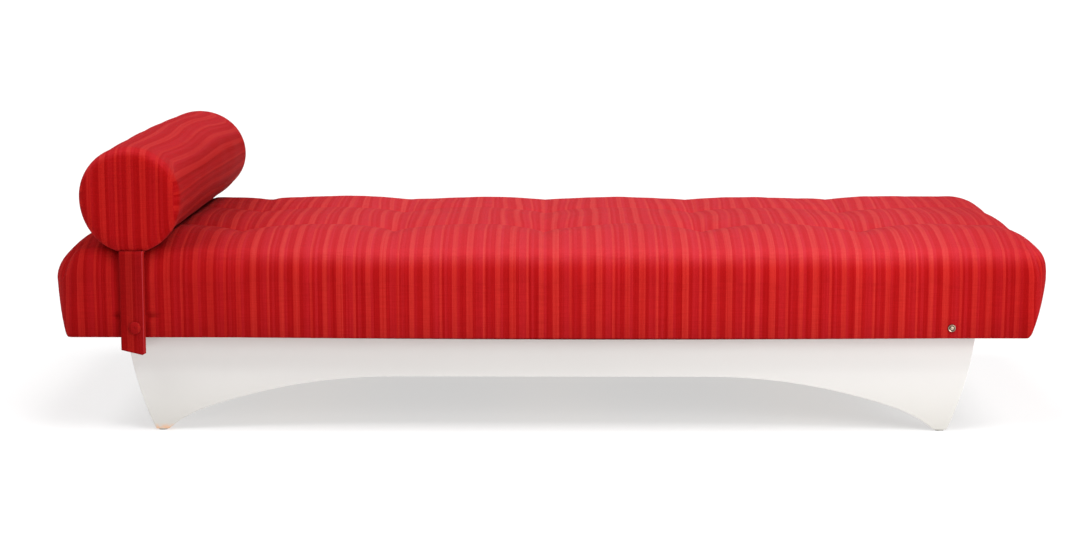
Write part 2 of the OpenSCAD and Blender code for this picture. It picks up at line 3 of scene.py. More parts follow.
import bmesh
import bpy
import numpy as np
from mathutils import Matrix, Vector


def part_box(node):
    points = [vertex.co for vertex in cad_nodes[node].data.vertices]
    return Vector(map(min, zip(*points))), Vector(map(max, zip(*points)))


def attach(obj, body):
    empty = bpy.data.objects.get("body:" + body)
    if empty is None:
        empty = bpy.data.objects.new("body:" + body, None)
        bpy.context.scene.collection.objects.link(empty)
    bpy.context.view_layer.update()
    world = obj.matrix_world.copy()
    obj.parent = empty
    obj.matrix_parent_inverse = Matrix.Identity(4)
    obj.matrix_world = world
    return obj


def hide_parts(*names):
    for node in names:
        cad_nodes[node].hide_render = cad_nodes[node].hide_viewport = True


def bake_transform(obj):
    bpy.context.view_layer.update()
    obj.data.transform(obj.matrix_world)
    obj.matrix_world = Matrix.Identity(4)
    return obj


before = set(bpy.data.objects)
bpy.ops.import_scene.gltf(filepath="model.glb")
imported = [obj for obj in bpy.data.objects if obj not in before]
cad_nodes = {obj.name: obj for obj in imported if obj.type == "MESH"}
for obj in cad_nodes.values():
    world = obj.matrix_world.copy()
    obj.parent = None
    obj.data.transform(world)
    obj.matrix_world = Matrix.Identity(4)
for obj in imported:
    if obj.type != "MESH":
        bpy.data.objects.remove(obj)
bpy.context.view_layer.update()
scene = bpy.context.scene

# Camera
# It stands in front of the divan, a little above the seat, and looks slightly down on it. Its place and
# its lens are solved from the photograph's own outline.
photo_width_px = 1080
focal_px = 2098.9
camera_place = (0.0082, -4.6, 1.0295)
camera_dip = 0.1616
camera_turn = 0.0072
film_width_mm = 36.0


def add_object(name, data):
    """A new object in the scene."""
    new_object = bpy.data.objects.new(name, data)
    scene.collection.objects.link(new_object)
    return new_object


camera_data = bpy.data.cameras.new("camera")
camera_data.sensor_width = film_width_mm
camera_data.lens = focal_px / photo_width_px * film_width_mm
camera = add_object("camera", camera_data)
camera.location = camera_place
camera.rotation_euler = (math.pi / 2 - camera_dip, 0, camera_turn)
scene.camera = camera


# Long boards and end boards
# The base is a low open box of 22 mm boards, sprayed with off-white lacquer. The long boards are sawn
# to a flat arch and to two tapering feet. Their edges are rubbed round before the lacquer goes on.
lacquer_tone = (226, 224, 221)
lacquer_worn_tone = (224, 178, 142)
# The lacquer is made darker towards the floor, below this height.
lacquer_low_darkening = (0.76, 0.75, 0.72, 1)
darkening_height = 0.12
wear_height, wear_full = 0.015, 0.006
worn_foot_x = -0.4
board_edge = 0.0016
spray_scale = 900.0


def tone(red, green, blue, share=1.0):
    """A colour as it shows on paper, from 0 to 255, turned into light."""
    light = []
    for part in (red, green, blue):
        part = part / 255
        part = part / 12.92 if part <= 0.04045 else ((part + 0.055) / 1.055) ** 2.4
        light.append(part * share)
    return (*light, 1.0)


def new_finish(name, roughness, **sockets):
    """A material with its shader, ready for more nodes."""
    finish = bpy.data.materials.new(name)
    finish.use_nodes = True
    shader = finish.node_tree.nodes["Principled BSDF"]
    shader.inputs["Roughness"].default_value = roughness
    for socket, value in sockets.items():
        shader.inputs[socket.replace("_", " ")].default_value = value
    return finish, finish.node_tree, shader


def feed(tree, socket, value):
    """Gives a socket its value, or a link where the value comes from another node."""
    if isinstance(value, bpy.types.NodeSocket):
        tree.links.new(value, socket)
    else:
        socket.default_value = value


def add_node(tree, kind, **settings):
    """A node of that kind. Names of its properties and of its inputs are both understood."""
    node = tree.nodes.new("ShaderNode" + kind)
    for key, value in settings.items():
        if hasattr(node, key):
            setattr(node, key, value)
        else:
            feed(tree, node.inputs[int(key[1:]) if key[1:].isdigit() else key.replace("_", " ")], value)
    return node


def maths(tree, operation, first, second=0.0):
    """The result of one sum on two numbers or sockets."""
    return add_node(tree, "Math", operation=operation, i0=first, i1=second).outputs[0]


def times(tree, first, second):
    return maths(tree, "MULTIPLY", first, second)


def waves(tree, value, pitch):
    """A wave from -1 to 1 that comes back at every pitch."""
    return maths(tree, "SINE", times(tree, value, 2 * math.pi / pitch))


def mix_tones(tree, share, low, high, blend="MIX"):
    """Two colours mixed by a share."""
    node = add_node(tree, "Mix", data_type="RGBA", blend_type=blend)
    for number, value in ((0, share), (6, low), (7, high)):
        feed(tree, node.inputs[number], value)
    return node.outputs[2]


def ramp(tree, value, low, high, start=0.0, end=1.0, kind="LINEAR"):
    """A number that runs from start to end while the value runs from low to high."""
    return add_node(
        tree, "MapRange", interpolation_type=kind, Value=value, i1=low, i2=high, i3=start, i4=end).outputs[0]


def clouds(tree, vector, scale, detail=2.0, low=0.3, high=0.7):
    """Soft noise stretched to run from 0 to 1."""
    noise = add_node(tree, "TexNoise", Vector=vector, Scale=scale, Detail=detail)
    return ramp(tree, noise.outputs["Fac"], low, high)


def object_place(tree):
    return add_node(tree, "TexCoord").outputs["Object"]


def paint(tree, shader, body):
    tree.links.new(body, shader.inputs["Base Color"])


def vary_gloss(tree, shader, pattern, low, high):
    """Roughness that follows a pattern."""
    tree.links.new(ramp(tree, pattern, 0.0, 1.0, low, high), shader.inputs["Roughness"])


def add_bump(tree, shader, height, strength, distance):
    """A relief that the shader shows."""
    bump = add_node(tree, "Bump", Height=height, Strength=strength, Distance=distance)
    tree.links.new(bump.outputs[0], shader.inputs["Normal"])


def make_lacquer():
    finish, tree, shader = new_finish("white_lacquer", 0.32, Coat_Weight=0.25, Coat_Roughness=0.2)
    place = object_place(tree)
    parts = add_node(tree, "SeparateXYZ", Vector=place)
    height = parts.outputs["Z"]
    yellowing = clouds(tree, place, 2.2, 2.0, 0.1, 0.9)
    body = mix_tones(tree, yellowing, tone(*lacquer_tone), tone(*lacquer_tone, 0.965))
    # Darker towards the floor.
    low_darkening = ramp(tree, height, darkening_height, 0.0)
    body = mix_tones(tree, low_darkening, body, lacquer_low_darkening, "MULTIPLY")
    near_floor = ramp(tree, height, wear_height, wear_full)
    scuffs = clouds(tree, place, 60.0, 3.0, 0.36, 0.5)
    left_foot = ramp(tree, parts.outputs["X"], worn_foot_x, worn_foot_x - 0.1)
    worn = times(tree, times(tree, near_floor, scuffs), left_foot)
    paint(tree, shader, mix_tones(tree, worn, body, tone(*lacquer_worn_tone)))
    handling = clouds(tree, place, 7.0, 4.0, 0.1, 0.9)
    vary_gloss(tree, shader, handling, 0.26, 0.42)
    peel = add_node(tree, "TexNoise", Vector=place, Scale=spray_scale, Detail=1.0)
    add_bump(tree, shader, peel.outputs["Fac"], 0.03, 0.0003)
    return finish


def round_edges(node, body, finish, width, steps=2, shortest=0.012):
    """The node's own shape with its long sharp edges rubbed round, shown in the node's place."""
    mesh = cad_nodes[node].data.copy()
    sculpt = bmesh.new()
    sculpt.from_mesh(mesh)
    bmesh.ops.remove_doubles(sculpt, verts=sculpt.verts, dist=0.00001)
    bmesh.ops.dissolve_limit(
        sculpt, angle_limit=math.radians(0.6), verts=sculpt.verts, edges=sculpt.edges)
    weight = sculpt.edges.layers.float.new("bevel_weight_edge")
    for edge in sculpt.edges:
        corner = edge.calc_face_angle(0.0)
        edge[weight] = float(corner > math.radians(35) and edge.calc_length() > shortest)
    for face in sculpt.faces:
        face.smooth = False
    sculpt.to_mesh(mesh)
    sculpt.free()
    mesh.materials.clear()
    mesh.materials.append(finish)
    piece = add_object(node + "_rubbed", mesh)
    bevel = piece.modifiers.new("rubbed_edges", "BEVEL")
    bevel.width = width
    bevel.segments = steps
    bevel.limit_method = "WEIGHT"
    bevel.harden_normals = False
    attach(piece, body)
    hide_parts(node)
    return piece


lacquer = make_lacquer()
for board in ("front_panel", "back_panel", "left_end_panel", "right_end_panel"):
    round_edges(board, "base", lacquer, board_edge, 3, 0.004)


# Timber of the base and of the mattress frame
# Corner blocks, cleats, bars and rails are planed pine, left bare because nobody sees them. Their
# arrises are taken off with a plane.
pine_tone = (214, 178, 128)
pine_dark_tone = (176, 132, 84)
arris = 0.0012
ring_spacing = 0.006


def make_timber(name, light, dark, spacing, roughness):
    finish, tree, shader = new_finish(name, roughness)
    place = object_place(tree)
    lengthened = add_node(tree, "Mapping", Vector=place, Scale=(1.0, 1.0, 5.0)).outputs[0]
    wander = add_node(tree, "TexNoise", Vector=lengthened, Scale=3.0, Detail=3.0).outputs["Color"]
    bent = add_node(tree, "VectorMath", operation="SCALE", i0=wander, Scale=0.05).outputs[0]
    moved = add_node(tree, "VectorMath", operation="ADD", i0=place, i1=bent).outputs[0]
    parts = add_node(tree, "SeparateXYZ", Vector=moved)
    across = maths(tree, "ADD", parts.outputs["Z"], times(tree, parts.outputs["Y"], 0.35))
    soft = ramp(tree, waves(tree, across, spacing), -1.0, 1.0)
    fibre = add_node(tree, "Mapping", Vector=place, Scale=(12.0, 260.0, 260.0)).outputs[0]
    streaks = clouds(tree, fibre, 3.0, 3.0)
    body = mix_tones(tree, soft, tone(*light), tone(*dark))
    body = mix_tones(tree, times(tree, streaks, 0.4), body, tone(*dark))
    paint(tree, shader, body)
    add_bump(tree, shader, streaks, 0.25, 0.0006)
    return finish


pine = make_timber("planed_pine", pine_tone, pine_dark_tone, ring_spacing, 0.62)
for timber in ("corner_blocks", "front_cleat", "back_cleat", "cross_bearers"):
    round_edges(timber, "base", pine, arris)
for timber in ("front_rail", "back_rail", "left_rail", "right_rail", "middle_rails", "locating_battens"):
    round_edges(timber, "mattress", pine, arris)


# Screws, washers and glides
# Countersunk screws and the washers under the deck are zinc plated steel. Each foot stands on a nailed
# glide of pale nylon.
zinc_tone = (196, 196, 190)
nylon_tone = (196, 194, 188)


def dress(node, finish):
    """A rigid node keeps its own shape and gets its finish."""
    mesh = cad_nodes[node].data
    mesh.materials.clear()
    mesh.materials.append(finish)


def make_zinc():
    finish, tree, shader = new_finish("zinc_plate", 0.35, Metallic=1.0)
    place = object_place(tree)
    bloom = clouds(tree, place, 260.0, 4.0)
    paint(tree, shader, mix_tones(tree, bloom, tone(*zinc_tone), tone(*zinc_tone, 0.7)))
    vary_gloss(tree, shader, bloom, 0.28, 0.5)
    return finish


def make_nylon():
    finish, tree, shader = new_finish("pale_nylon", 0.5)
    place = object_place(tree)
    dust = clouds(tree, place, 180.0, 4.0)
    paint(tree, shader, mix_tones(tree, dust, tone(*nylon_tone), tone(*nylon_tone, 0.7)))
    add_bump(tree, shader, dust, 0.1, 0.0002)
    return finish


zinc = make_zinc()
for screws in ("block_screws", "cleat_screws", "bearer_screws", "rail_screws", "batten_screws"):
    dress(screws, zinc)
dress("tuft_washers", zinc)
dress("foot_glides", make_nylon())


# Deck board
# A sheet of thin birch plywood, screwed on the rails. A hole is drilled in it for each tufting twine,
# and its figure is left bare.
ply_tone = (222, 190, 146)
ply_dark_tone = (196, 158, 112)
ply_figure = 0.03
dress("deck_board", make_timber("birch_plywood", ply_tone, ply_dark_tone, ply_figure, 0.55))


# Foam core
# A slab of pale foam, cut to the frame and glued on the deck board. Its edges are trimmed soft, and it
# has yellowed a little.
foam_tone = (226, 212, 158)
foam_edge = 0.009
cell_scale = 900.0


def make_foam():
    finish, tree, shader = new_finish("pale_foam", 0.95)
    place = object_place(tree)
    cells = add_node(tree, "TexVoronoi", Vector=place, Scale=cell_scale).outputs["Distance"]
    aged = clouds(tree, place, 6.0, 3.0)
    body = mix_tones(tree, aged, tone(*foam_tone), tone(*foam_tone, 0.82))
    body = mix_tones(tree, times(tree, cells, 0.5), body, tone(*foam_tone, 0.55))
    paint(tree, shader, body)
    add_bump(tree, shader, cells, 0.4, 0.0006)
    return finish


foam = make_foam()
round_edges("foam_core", "mattress", foam, foam_edge, 3)


# Tufting twines
# Ten lengths of waxed red twine hold the tufts down. Each runs through foam and deck, and is knotted
# under its washer.
twine_tone = (150, 30, 28)
twine_lay = 1500.0


def make_twine():
    finish, tree, shader = new_finish("waxed_twine", 0.6, Sheen_Weight=0.2)
    place = object_place(tree)
    parts = add_node(tree, "SeparateXYZ", Vector=place)
    slant = maths(tree, "ADD", parts.outputs["Z"], parts.outputs["X"])
    lay = maths(tree, "SINE", times(tree, slant, twine_lay))
    strand = ramp(tree, lay, -1.0, 1.0)
    paint(tree, shader, mix_tones(tree, strand, tone(*twine_tone), tone(*twine_tone, 0.5)))
    add_bump(tree, shader, strand, 0.5, 0.0004)
    return finish


dress("tuft_twines", make_twine())


# Striped wool cover of the mattress unit
# One width of striped furnishing wool lies over felt wadding, from the underside of the front over the
# top to the underside of the back, and the ends are sewn on. Ten twines pull the top down into tufts,
# and the cloth creases between them.
cover_low, cover_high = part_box("mattress_cover")
half_len, half_w = cover_high.x, cover_high.y
seat_z, mattress_h = cover_low.z, cover_high.z - cover_low.z
bulge_h, edge_rise = 0.116, 0.056
crown_rise = mattress_h - bulge_h - edge_rise
end_tuck, side_tuck, tuck_power = 0.025, 0.002, 1.5
right_tuck, left_tuck = end_tuck + 0.017, end_tuck + 0.001
corner_r, low_corner_r, least_corner_r = 0.070, 0.040, 0.003
side_round, left_round, right_round = 0.030, 0.066, 0.045
side_run, left_run, right_run = 0.140, 0.110, 0.085
full_end_power, full_end_x = 3.2, 0.5
rim_inset = 0.012
cells_long, cells_wide = 6, 3
tuft_places = (-0.652, -0.330, -0.012, 0.317, 0.647)
crease_drop, tuft_depth = 0.013, 0.012
crease_power, crease_softness = 0.6, 0.03
wander_x, wander_y = 0.0022, 0.006
cross_gain, middle_loss, far_loss = 1.15, 0.5, 0.35
side_fade, end_fade, back_fade, right_fade = 0.1, 0.5, 0.40, 0.9
front_puff, puff_row, puff_width = 0.005, -0.60, 0.2
flat_back, flat_from, flat_to = 0.0035, -0.50, 0.72
back_from, back_run = 0.4, 0.3
bolster_dip, dip_edge, dip_run = 0.0034, -0.632, 0.04
gather_depth, gather_folds, gather_start, gather_reach = 0.0011, 9, 0.02, 0.045
drawn_share, drawn_reach = 0.22, 0.075
slow_wave, fine_wave = 0.0016, 0.0006
frame_half_len, frame_half_w = 0.972, 0.376
frame_clear = 0.0003
fold_w, cloth_t = 0.030, 0.002
cavity_h = 0.1483
top_step, edge_step, step_growth = 0.0075, 0.003, 1.22
side_rings, first_ring, lip_rings = 27, 0.055, 8
bolster_low, bolster_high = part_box("bolster_cover")
bolster_x, bolster_z = (bolster_low.x + bolster_high.x) / 2, (bolster_low.z + bolster_high.z) / 2
bolster_r, bolster_half = (bolster_high.x - bolster_low.x) / 2, bolster_high.y
bolster_lean = 0.0171
sag, back_sag, sag_start, sag_run = 0.12, -0.05, 0.33, 0.05
trough_gap = 0.0006
seam_groove = 0.0012
hem_droop, droop_from, droop_to = 0.0034, -0.64, 0.80
hem_wave = 0.0012
stud_low, stud_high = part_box("front_studs")
spare_stud_x = stud_high.x - (stud_high.z - stud_low.z) / 2
snap_z = (stud_low.z + stud_high.z) / 2
snap_depth, snap_reach = 0.0012, 0.013
pucker_drop, pucker_w, pucker_h, pucker_rise = 0.0075, 0.011, 0.0055, 0.023
pucker_places = (bolster_x - 0.031, bolster_x + 0.032)
calm_run, rim_run = 0.12, 0.06
side_cloth, edge_cloth, end_cloth = 0.02, 0.012, 0.57 * corner_r


def turn(share):
    """A quarter round."""
    return np.sqrt(1 - (1 - np.clip(share, 0, 1)) ** 2)


def swell(share):
    """A rise that comes to rest at its top."""
    return np.sin(np.pi / 2 * np.clip(share, 0, 1))


def full_turn(share):
    """The same turn, drawn fuller."""
    return (1 - (1 - np.clip(share, 0, 1)) ** full_end_power) ** (1 / full_end_power)


def smooth(share):
    """A share that starts and ends gently."""
    share = np.clip(share, 0, 1)
    return share * share * (3 - 2 * share)


def loaf(from_end, from_side, right):
    """Height of the top above the underside, before the tufts are pulled in."""
    end_turn = turn(from_end / left_round) * (1 - right) + full_turn(from_end / right_round) * right
    edge = edge_rise * end_turn * turn(from_side / side_round)
    end_run = left_run + (right_run - left_run) * right
    crown = crown_rise * swell(from_end / end_run) * swell(from_side / side_run)
    return bulge_h + edge + crown


def hollow(share, cells):
    """How near a place is to a crease, from 0 in mid cell to 1 on the crease."""
    within = (share + 1) / 2 * cells
    wave = np.abs(np.sin(np.pi * within))
    wave = np.sqrt(wave ** 2 + crease_softness ** 2) - crease_softness * (1 - wave)
    return np.where(np.abs(share) > 1 - 1 / cells, 0, 1 - np.clip(wave, 0, 1) ** crease_power)


def fade(share, cells, rest):
    """What is left of a crease's depth, from all in the middle cells to the rest at the edge."""
    start = 1 - 2 / cells
    t = np.clip((np.abs(share) - start) / (1 - start), 0, 1)
    return 1 - (1 - rest) * (1 - np.cos(np.pi * t)) / 2


def ripple(x, y, pitch, seed):
    """Slow unevenness from -1 to 1, the same on every run."""
    a = np.sin(2 * np.pi * x / pitch + seed) * np.cos(2 * np.pi * y / (0.83 * pitch) + 1.7 * seed)
    b = np.sin(2 * np.pi * (0.6 * x + 0.8 * y) / (0.57 * pitch) + 2.3 * seed)
    return (a + 0.6 * b) / 1.6


def pull(x, y):
    """How far creases and tufts pull the top down."""
    u = np.interp(x, (-half_len, *tuft_places, half_len), np.linspace(-1, 1, cells_long + 1))
    u = u + wander_x * np.sin(y * 23 + 1)
    v = y / (half_w - rim_inset) + wander_y * np.sin(x * 11 + 2)
    hx, hy = hollow(u, cells_long), hollow(v, cells_wide)
    hy_fade = fade(u, cells_long, end_fade + (right_fade - end_fade) * (u > 0))
    hx_fade = fade(v, cells_wide, side_fade + (back_fade - side_fade) * (v > 0))
    middle_row = smooth((v + 0.5) / 0.3) * smooth((0.6 - v) / 0.3)
    far_crease = 1 - far_loss * (v > 0)
    depth = crease_drop * hx * hx_fade * (cross_gain - middle_loss * middle_row)
    depth = depth + crease_drop * hy * hy_fade * far_crease
    inner = np.clip((1 - np.abs(u)) / 0.15, 0, 1)
    puff = front_puff * (1 - hx) * np.exp(-((v - puff_row) / puff_width) ** 2) * inner
    back = smooth((v - back_from) / back_run)
    flat_part = np.clip(np.minimum(x - flat_from, flat_to - x) / 0.15, 0, 1)
    flatter = flat_back * (1 - hx) * back * flat_part
    beside_bolster = bolster_dip * smooth((dip_edge - x) / dip_run) * back
    return depth + tuft_depth * hx * hy * far_crease + flatter + beside_bolster - puff


def plan(u, v, end_inset, side_inset, corner=corner_r):
    """Place on the rounded outline for a place in the square, and how far round the corner it is."""
    end_inset = end_inset + np.zeros_like(u)
    half = np.stack([half_len - end_inset, np.full_like(u, half_w - side_inset)], -1)
    r = np.maximum(corner - np.maximum(end_inset, side_inset), least_corner_r)[..., None]
    p = np.stack([np.abs(u) * half[..., 0], np.abs(v) * half[..., 1]], -1)
    d = p - half + r
    in_corner = (d.min(-1) > 0)
    length = np.maximum(np.linalg.norm(d, axis=-1), 1e-9)
    out = np.where(in_corner[..., None], half - r + d * (d.max(-1) / length)[..., None], p)
    angle = np.where(in_corner, np.arctan2(np.maximum(d[..., 0], 0), np.maximum(d[..., 1], 1e-9)), 0)
    angle = np.where((d[..., 1] <= 0) & (d[..., 0] > 0), np.pi / 2, angle)
    return np.sign(u) * out[..., 0], np.sign(v) * out[..., 1], angle


def end_tuck_at(u):
    """How far an end draws in at the hem, which differs a little from left to right."""
    return np.where(u > 0, right_tuck, left_tuck)


def droop(x):
    """How far the hem hangs below the frame."""
    return hem_droop * np.sin(np.pi * np.clip((x - droop_from) / (droop_to - droop_from), 0, 1))


def bolster_sag(y):
    """How much fuller the bolster's underside is where it overhangs the front, and flatter at the back."""
    return np.where(y < 0, sag, back_sag) * smooth((np.abs(y) - sag_start) / sag_run)


def bolster_under(x, y):
    """Height of the bolster's underside."""
    dx = np.abs(x - bolster_x - bolster_lean * y)
    drop = np.sqrt(np.maximum((bolster_r + trough_gap) ** 2 - dx ** 2, 0))
    return np.where(dx < bolster_r, bolster_z - drop * (1 + bolster_sag(y)), np.inf)


def graded_lines(half, first):
    """Shares from -1 to 1, closer together towards the two edges."""
    steps, place, step = [0.0], 0.0, first
    while place < half:
        place += step
        step = min(step * step_growth, top_step)
        steps.append(place)
    steps = np.array(steps) / steps[-1]
    return np.concatenate([-1 + steps, (1 - steps)[::-1][1:]])


def make_cloth_mesh(name, places, faces, marks, finish, flat_faces=()):
    """A mesh of cloth. Marks are places on the cloth, across and along the stripes, of all points or of
    all corners."""
    mesh = bpy.data.meshes.new(name)
    mesh.from_pydata(places.tolist(), [], faces)
    mesh.update()
    cloth = mesh.uv_layers.new(name="cloth")
    marks = np.asarray(marks, np.float32)
    if len(marks) == len(mesh.vertices):
        corner_points = np.zeros(len(mesh.loops), np.int32)
        mesh.loops.foreach_get("vertex_index", corner_points)
        marks = marks[corner_points]
    cloth.data.foreach_set("uv", marks.ravel())
    rounded = np.ones(len(mesh.polygons), bool)
    rounded[list(flat_faces)] = False
    mesh.polygons.foreach_set("use_smooth", rounded)
    mesh.materials.append(finish)
    return add_object(name, mesh)


deep_red, plain_red, orange_red = (174, 16, 18), (183, 25, 29), (196, 40, 34)
stripe_tones = [
    (0.4, orange_red), (9.2, plain_red), (15.3, deep_red), (27.6, orange_red), (40.8, deep_red),
    (47.6, plain_red), (61.6, orange_red), (66.8, deep_red), (71.8, plain_red), (77.4, deep_red),
    (86.0, plain_red), (87.3, orange_red),
]
stripe_repeat, stripe_start = 0.0877, 0.276
# Beside the bolster the painted sheen is left out, as painted shadow of the bolster.
bolster_shade_span = (bolster_x, bolster_x + 0.48)
hem_z = seat_z - 0.003
stripe_edge, stripe_wander = 0.0005, 0.003
yarn_scale, slub_scale, weft_scale = (430.0, 3.0), (190.0, 1.2), (25.0, 420.0)
streak_low, streak_high = (0.91, 0.60, 0.62, 1), (1.09, 1.46, 1.42, 1)
weft_low, weft_high = (0.95, 0.90, 0.88, 1), (1.05, 1.10, 1.12, 1)
weft_pitch, warp_pitch, weave_share = 0.0016, 0.0013, 0.12
patch_tone, weave_tone, sheen_tone = (170, 16, 22), (120, 6, 10), (255, 214, 220)
# Painted sheen: wool that faces up is lightened and given a pale pink veil, as light from above would do.
sheen_paint_from, sheen_paint_full = 0.20, 0.76
sheen_paint_gain = (1.24, 3.5, 3.8, 1)
sheen_paint_tone, sheen_paint_veil = (0.568, 0.0315, 0.041, 1), 0.55
# Painted shade: the mattress's wool is darkened towards its hem, and more in a thin line at the hem.
hem_line_shade_depth, hem_line_shade_share = 0.004, 0.12
low_shade_height, low_shade_share = 0.07, 0.86
# Painted shade: the mattress's wool is darkened towards its two ends.
end_shade_left, end_shade_right = (-0.95, -0.30), (1.06, 0.72)
end_shade_tone = (0.80, 0.50, 0.52, 1)
# Painted highlight: a thin pale line along one seam of the strap.
seam_highlight_tone, seam_highlight_half_w, seam_highlight_share = (206, 74, 84), 0.0011, 0.45
mattress_gain = (0.88, 0.82, 0.84)


def stripe_bands(tree, within):
    """Colours of one repeat of the stripes, with narrow soft edges between them."""
    bands = add_node(tree, "ValToRGB", Fac=within)
    stops = []
    for number, (start, shade) in enumerate(stripe_tones):
        place = start / 1000 / stripe_repeat
        edge = stripe_edge / stripe_repeat / 2
        if number:
            stops.append((place - edge, stripe_tones[number - 1][1]))
        stops.append((place + edge * (number > 0), shade))
    points = bands.color_ramp.elements
    for point, (place, shade) in zip((points[0], points[1]), (stops[0], stops[-1])):
        point.position, point.color = min(place, 1.0), tone(*shade)
    for place, shade in stops[1:-1]:
        points.new(place).color = tone(*shade)
    return bands.outputs[0]


def stretched(tree, mark, across, along):
    """The place on the cloth, scaled across and along the stripes."""
    return add_node(tree, "Mapping", Vector=mark, Scale=(across, along, 1.0)).outputs[0]


def dye(tree, body, colour):
    """The cloth's colour, made darker or lighter by another one."""
    return mix_tones(tree, 1.0, body, colour, "MULTIPLY")


def make_wool(name, phase, gain=(1, 1, 1), painted_sheen_share=1.0, seam=0.0, covered=None):
    """Striped wool, lightened by painted sheen where it faces up. A seam, where there is one, runs this far
    from the middle and carries a painted highlight. On the mattress's wool the painted sheen is left out
    beside the bolster as painted shadow, and painted shade darkens it towards its two ends and towards its
    hem, most of all in a thin line at the hem."""
    finish, tree, shader = new_finish(
        name, 0.85, Sheen_Weight=0.03, Sheen_Roughness=0.35, Sheen_Tint=tone(*sheen_tone),
        Specular_IOR_Level=0.05)
    mark = add_node(tree, "UVMap", uv_map="cloth").outputs[0]
    parts = add_node(tree, "SeparateXYZ", Vector=mark)
    across, along = parts.outputs["X"], parts.outputs["Y"]
    drift = add_node(tree, "TexNoise", Vector=stretched(tree, mark, 9.0, 2.5), Scale=1.0, Detail=2.0)
    wander = times(tree, maths(tree, "SUBTRACT", drift.outputs["Fac"], 0.5), stripe_wander)
    turns = maths(tree, "DIVIDE", maths(tree, "ADD", across, wander), stripe_repeat)
    body = stripe_bands(tree, maths(tree, "FRACT", maths(tree, "ADD", turns, phase)))
    yarn, slub, uneven = [
        clouds(tree, stretched(tree, mark, *scales), 1.0, 2.0, 0.36, 0.64)
        for scales in (yarn_scale, slub_scale, weft_scale)]
    streak = maths(tree, "ADD", times(tree, yarn, 0.5), times(tree, slub, 0.5))
    body = dye(tree, body, mix_tones(tree, streak, streak_low, streak_high))
    body = dye(tree, body, mix_tones(tree, uneven, weft_low, weft_high))
    patch = clouds(tree, stretched(tree, mark, 7.0, 4.0), 1.0, 3.0)
    body = mix_tones(tree, times(tree, patch, 0.10), body, tone(*patch_tone))
    weave = times(tree, waves(tree, along, weft_pitch), waves(tree, across, warp_pitch))
    body = mix_tones(tree, ramp(tree, weave, -1.0, 1.0, 0.0, weave_share), body, tone(*weave_tone))
    # Painted sheen: where the wool faces up, its colour is lightened and veiled pale.
    facing = add_node(tree, "SeparateXYZ", Vector=add_node(tree, "NewGeometry").outputs["Normal"])
    painted_sheen = ramp(tree, facing.outputs["Z"], sheen_paint_from, sheen_paint_full, 0.0, painted_sheen_share, "SMOOTHSTEP")
    place = add_node(tree, "SeparateXYZ", Vector=object_place(tree))
    # Painted shadow: within the given span beside the bolster, the painted sheen is left out.
    if covered:
        out_of_bolster_shade = ramp(tree, place.outputs["X"], *covered, kind="SMOOTHSTEP")
        painted_sheen = times(tree, painted_sheen, out_of_bolster_shade)
    body = mix_tones(tree, painted_sheen, body, sheen_paint_gain, "MULTIPLY")
    body = mix_tones(tree, times(tree, painted_sheen, sheen_paint_veil), body, sheen_paint_tone)
    body = dye(tree, body, (*gain, 1))
    if covered:
        # Painted shade, deeper towards the two ends of the mattress.
        left_end_shade, right_end_shade = [
            ramp(tree, place.outputs["X"], *reach, kind="SMOOTHSTEP") for reach in (end_shade_left, end_shade_right)]
        end_shade = maths(tree, "MINIMUM", left_end_shade, right_end_shade)
        body = dye(tree, body, mix_tones(tree, end_shade, end_shade_tone, (1, 1, 1, 1)))
        # Painted shade towards the hem, and a darker painted shade line right at the hem.
        height = place.outputs["Z"]
        low_shade = ramp(tree, height, hem_z, hem_z + low_shade_height, low_shade_share, 1.0, "SMOOTHSTEP")
        body = dye(tree, body, low_shade)
        body = dye(tree, body, ramp(tree, height, hem_z, hem_z + hem_line_shade_depth, hem_line_shade_share, 1.0))
    if seam:
        # A painted highlight along the seam, a thin pale line.
        from_seam = maths(tree, "ABSOLUTE", maths(tree, "SUBTRACT", across, seam))
        rubbed = ramp(tree, from_seam, seam_highlight_half_w, 0.0003, 0.0, seam_highlight_share)
        body = mix_tones(tree, rubbed, body, tone(*seam_highlight_tone))
    paint(tree, shader, body)
    relief = maths(tree, "ADD", times(tree, weave, 0.5), yarn)
    add_bump(tree, shader, relief, 0.35, 0.0007)
    return finish


wool = make_wool("mattress_wool", stripe_start, mattress_gain, covered=bolster_shade_span)


def snap_dent(x, z):
    """How far the cloth is drawn in round the press studs, and puckered beside the strap."""
    dent = 0
    for stud_x in (bolster_x, spare_stud_x):
        dent = dent + snap_depth * np.exp(-((x - stud_x) ** 2 + (z - snap_z) ** 2) / snap_reach ** 2)
    above = (z - snap_z - pucker_rise) / pucker_h
    for pucker_x in pucker_places:
        dent = dent + pucker_drop * np.exp(-((x - pucker_x) / pucker_w) ** 2 - above ** 2)
    return dent


def top_place(u, v, inset, pulled=1):
    """A place on the top, how far round the corner it is, and its distance from the end and the side."""
    x, y, angle = plan(u, v, inset, inset)
    from_end = half_len - np.abs(u) * (half_len - inset)
    from_side = half_w - np.abs(v) * (half_w - inset)
    z = seat_z + loaf(from_end, from_side, smooth(x / full_end_x)) - pulled * pull(x, y)
    return x, y, z, angle, from_end, from_side


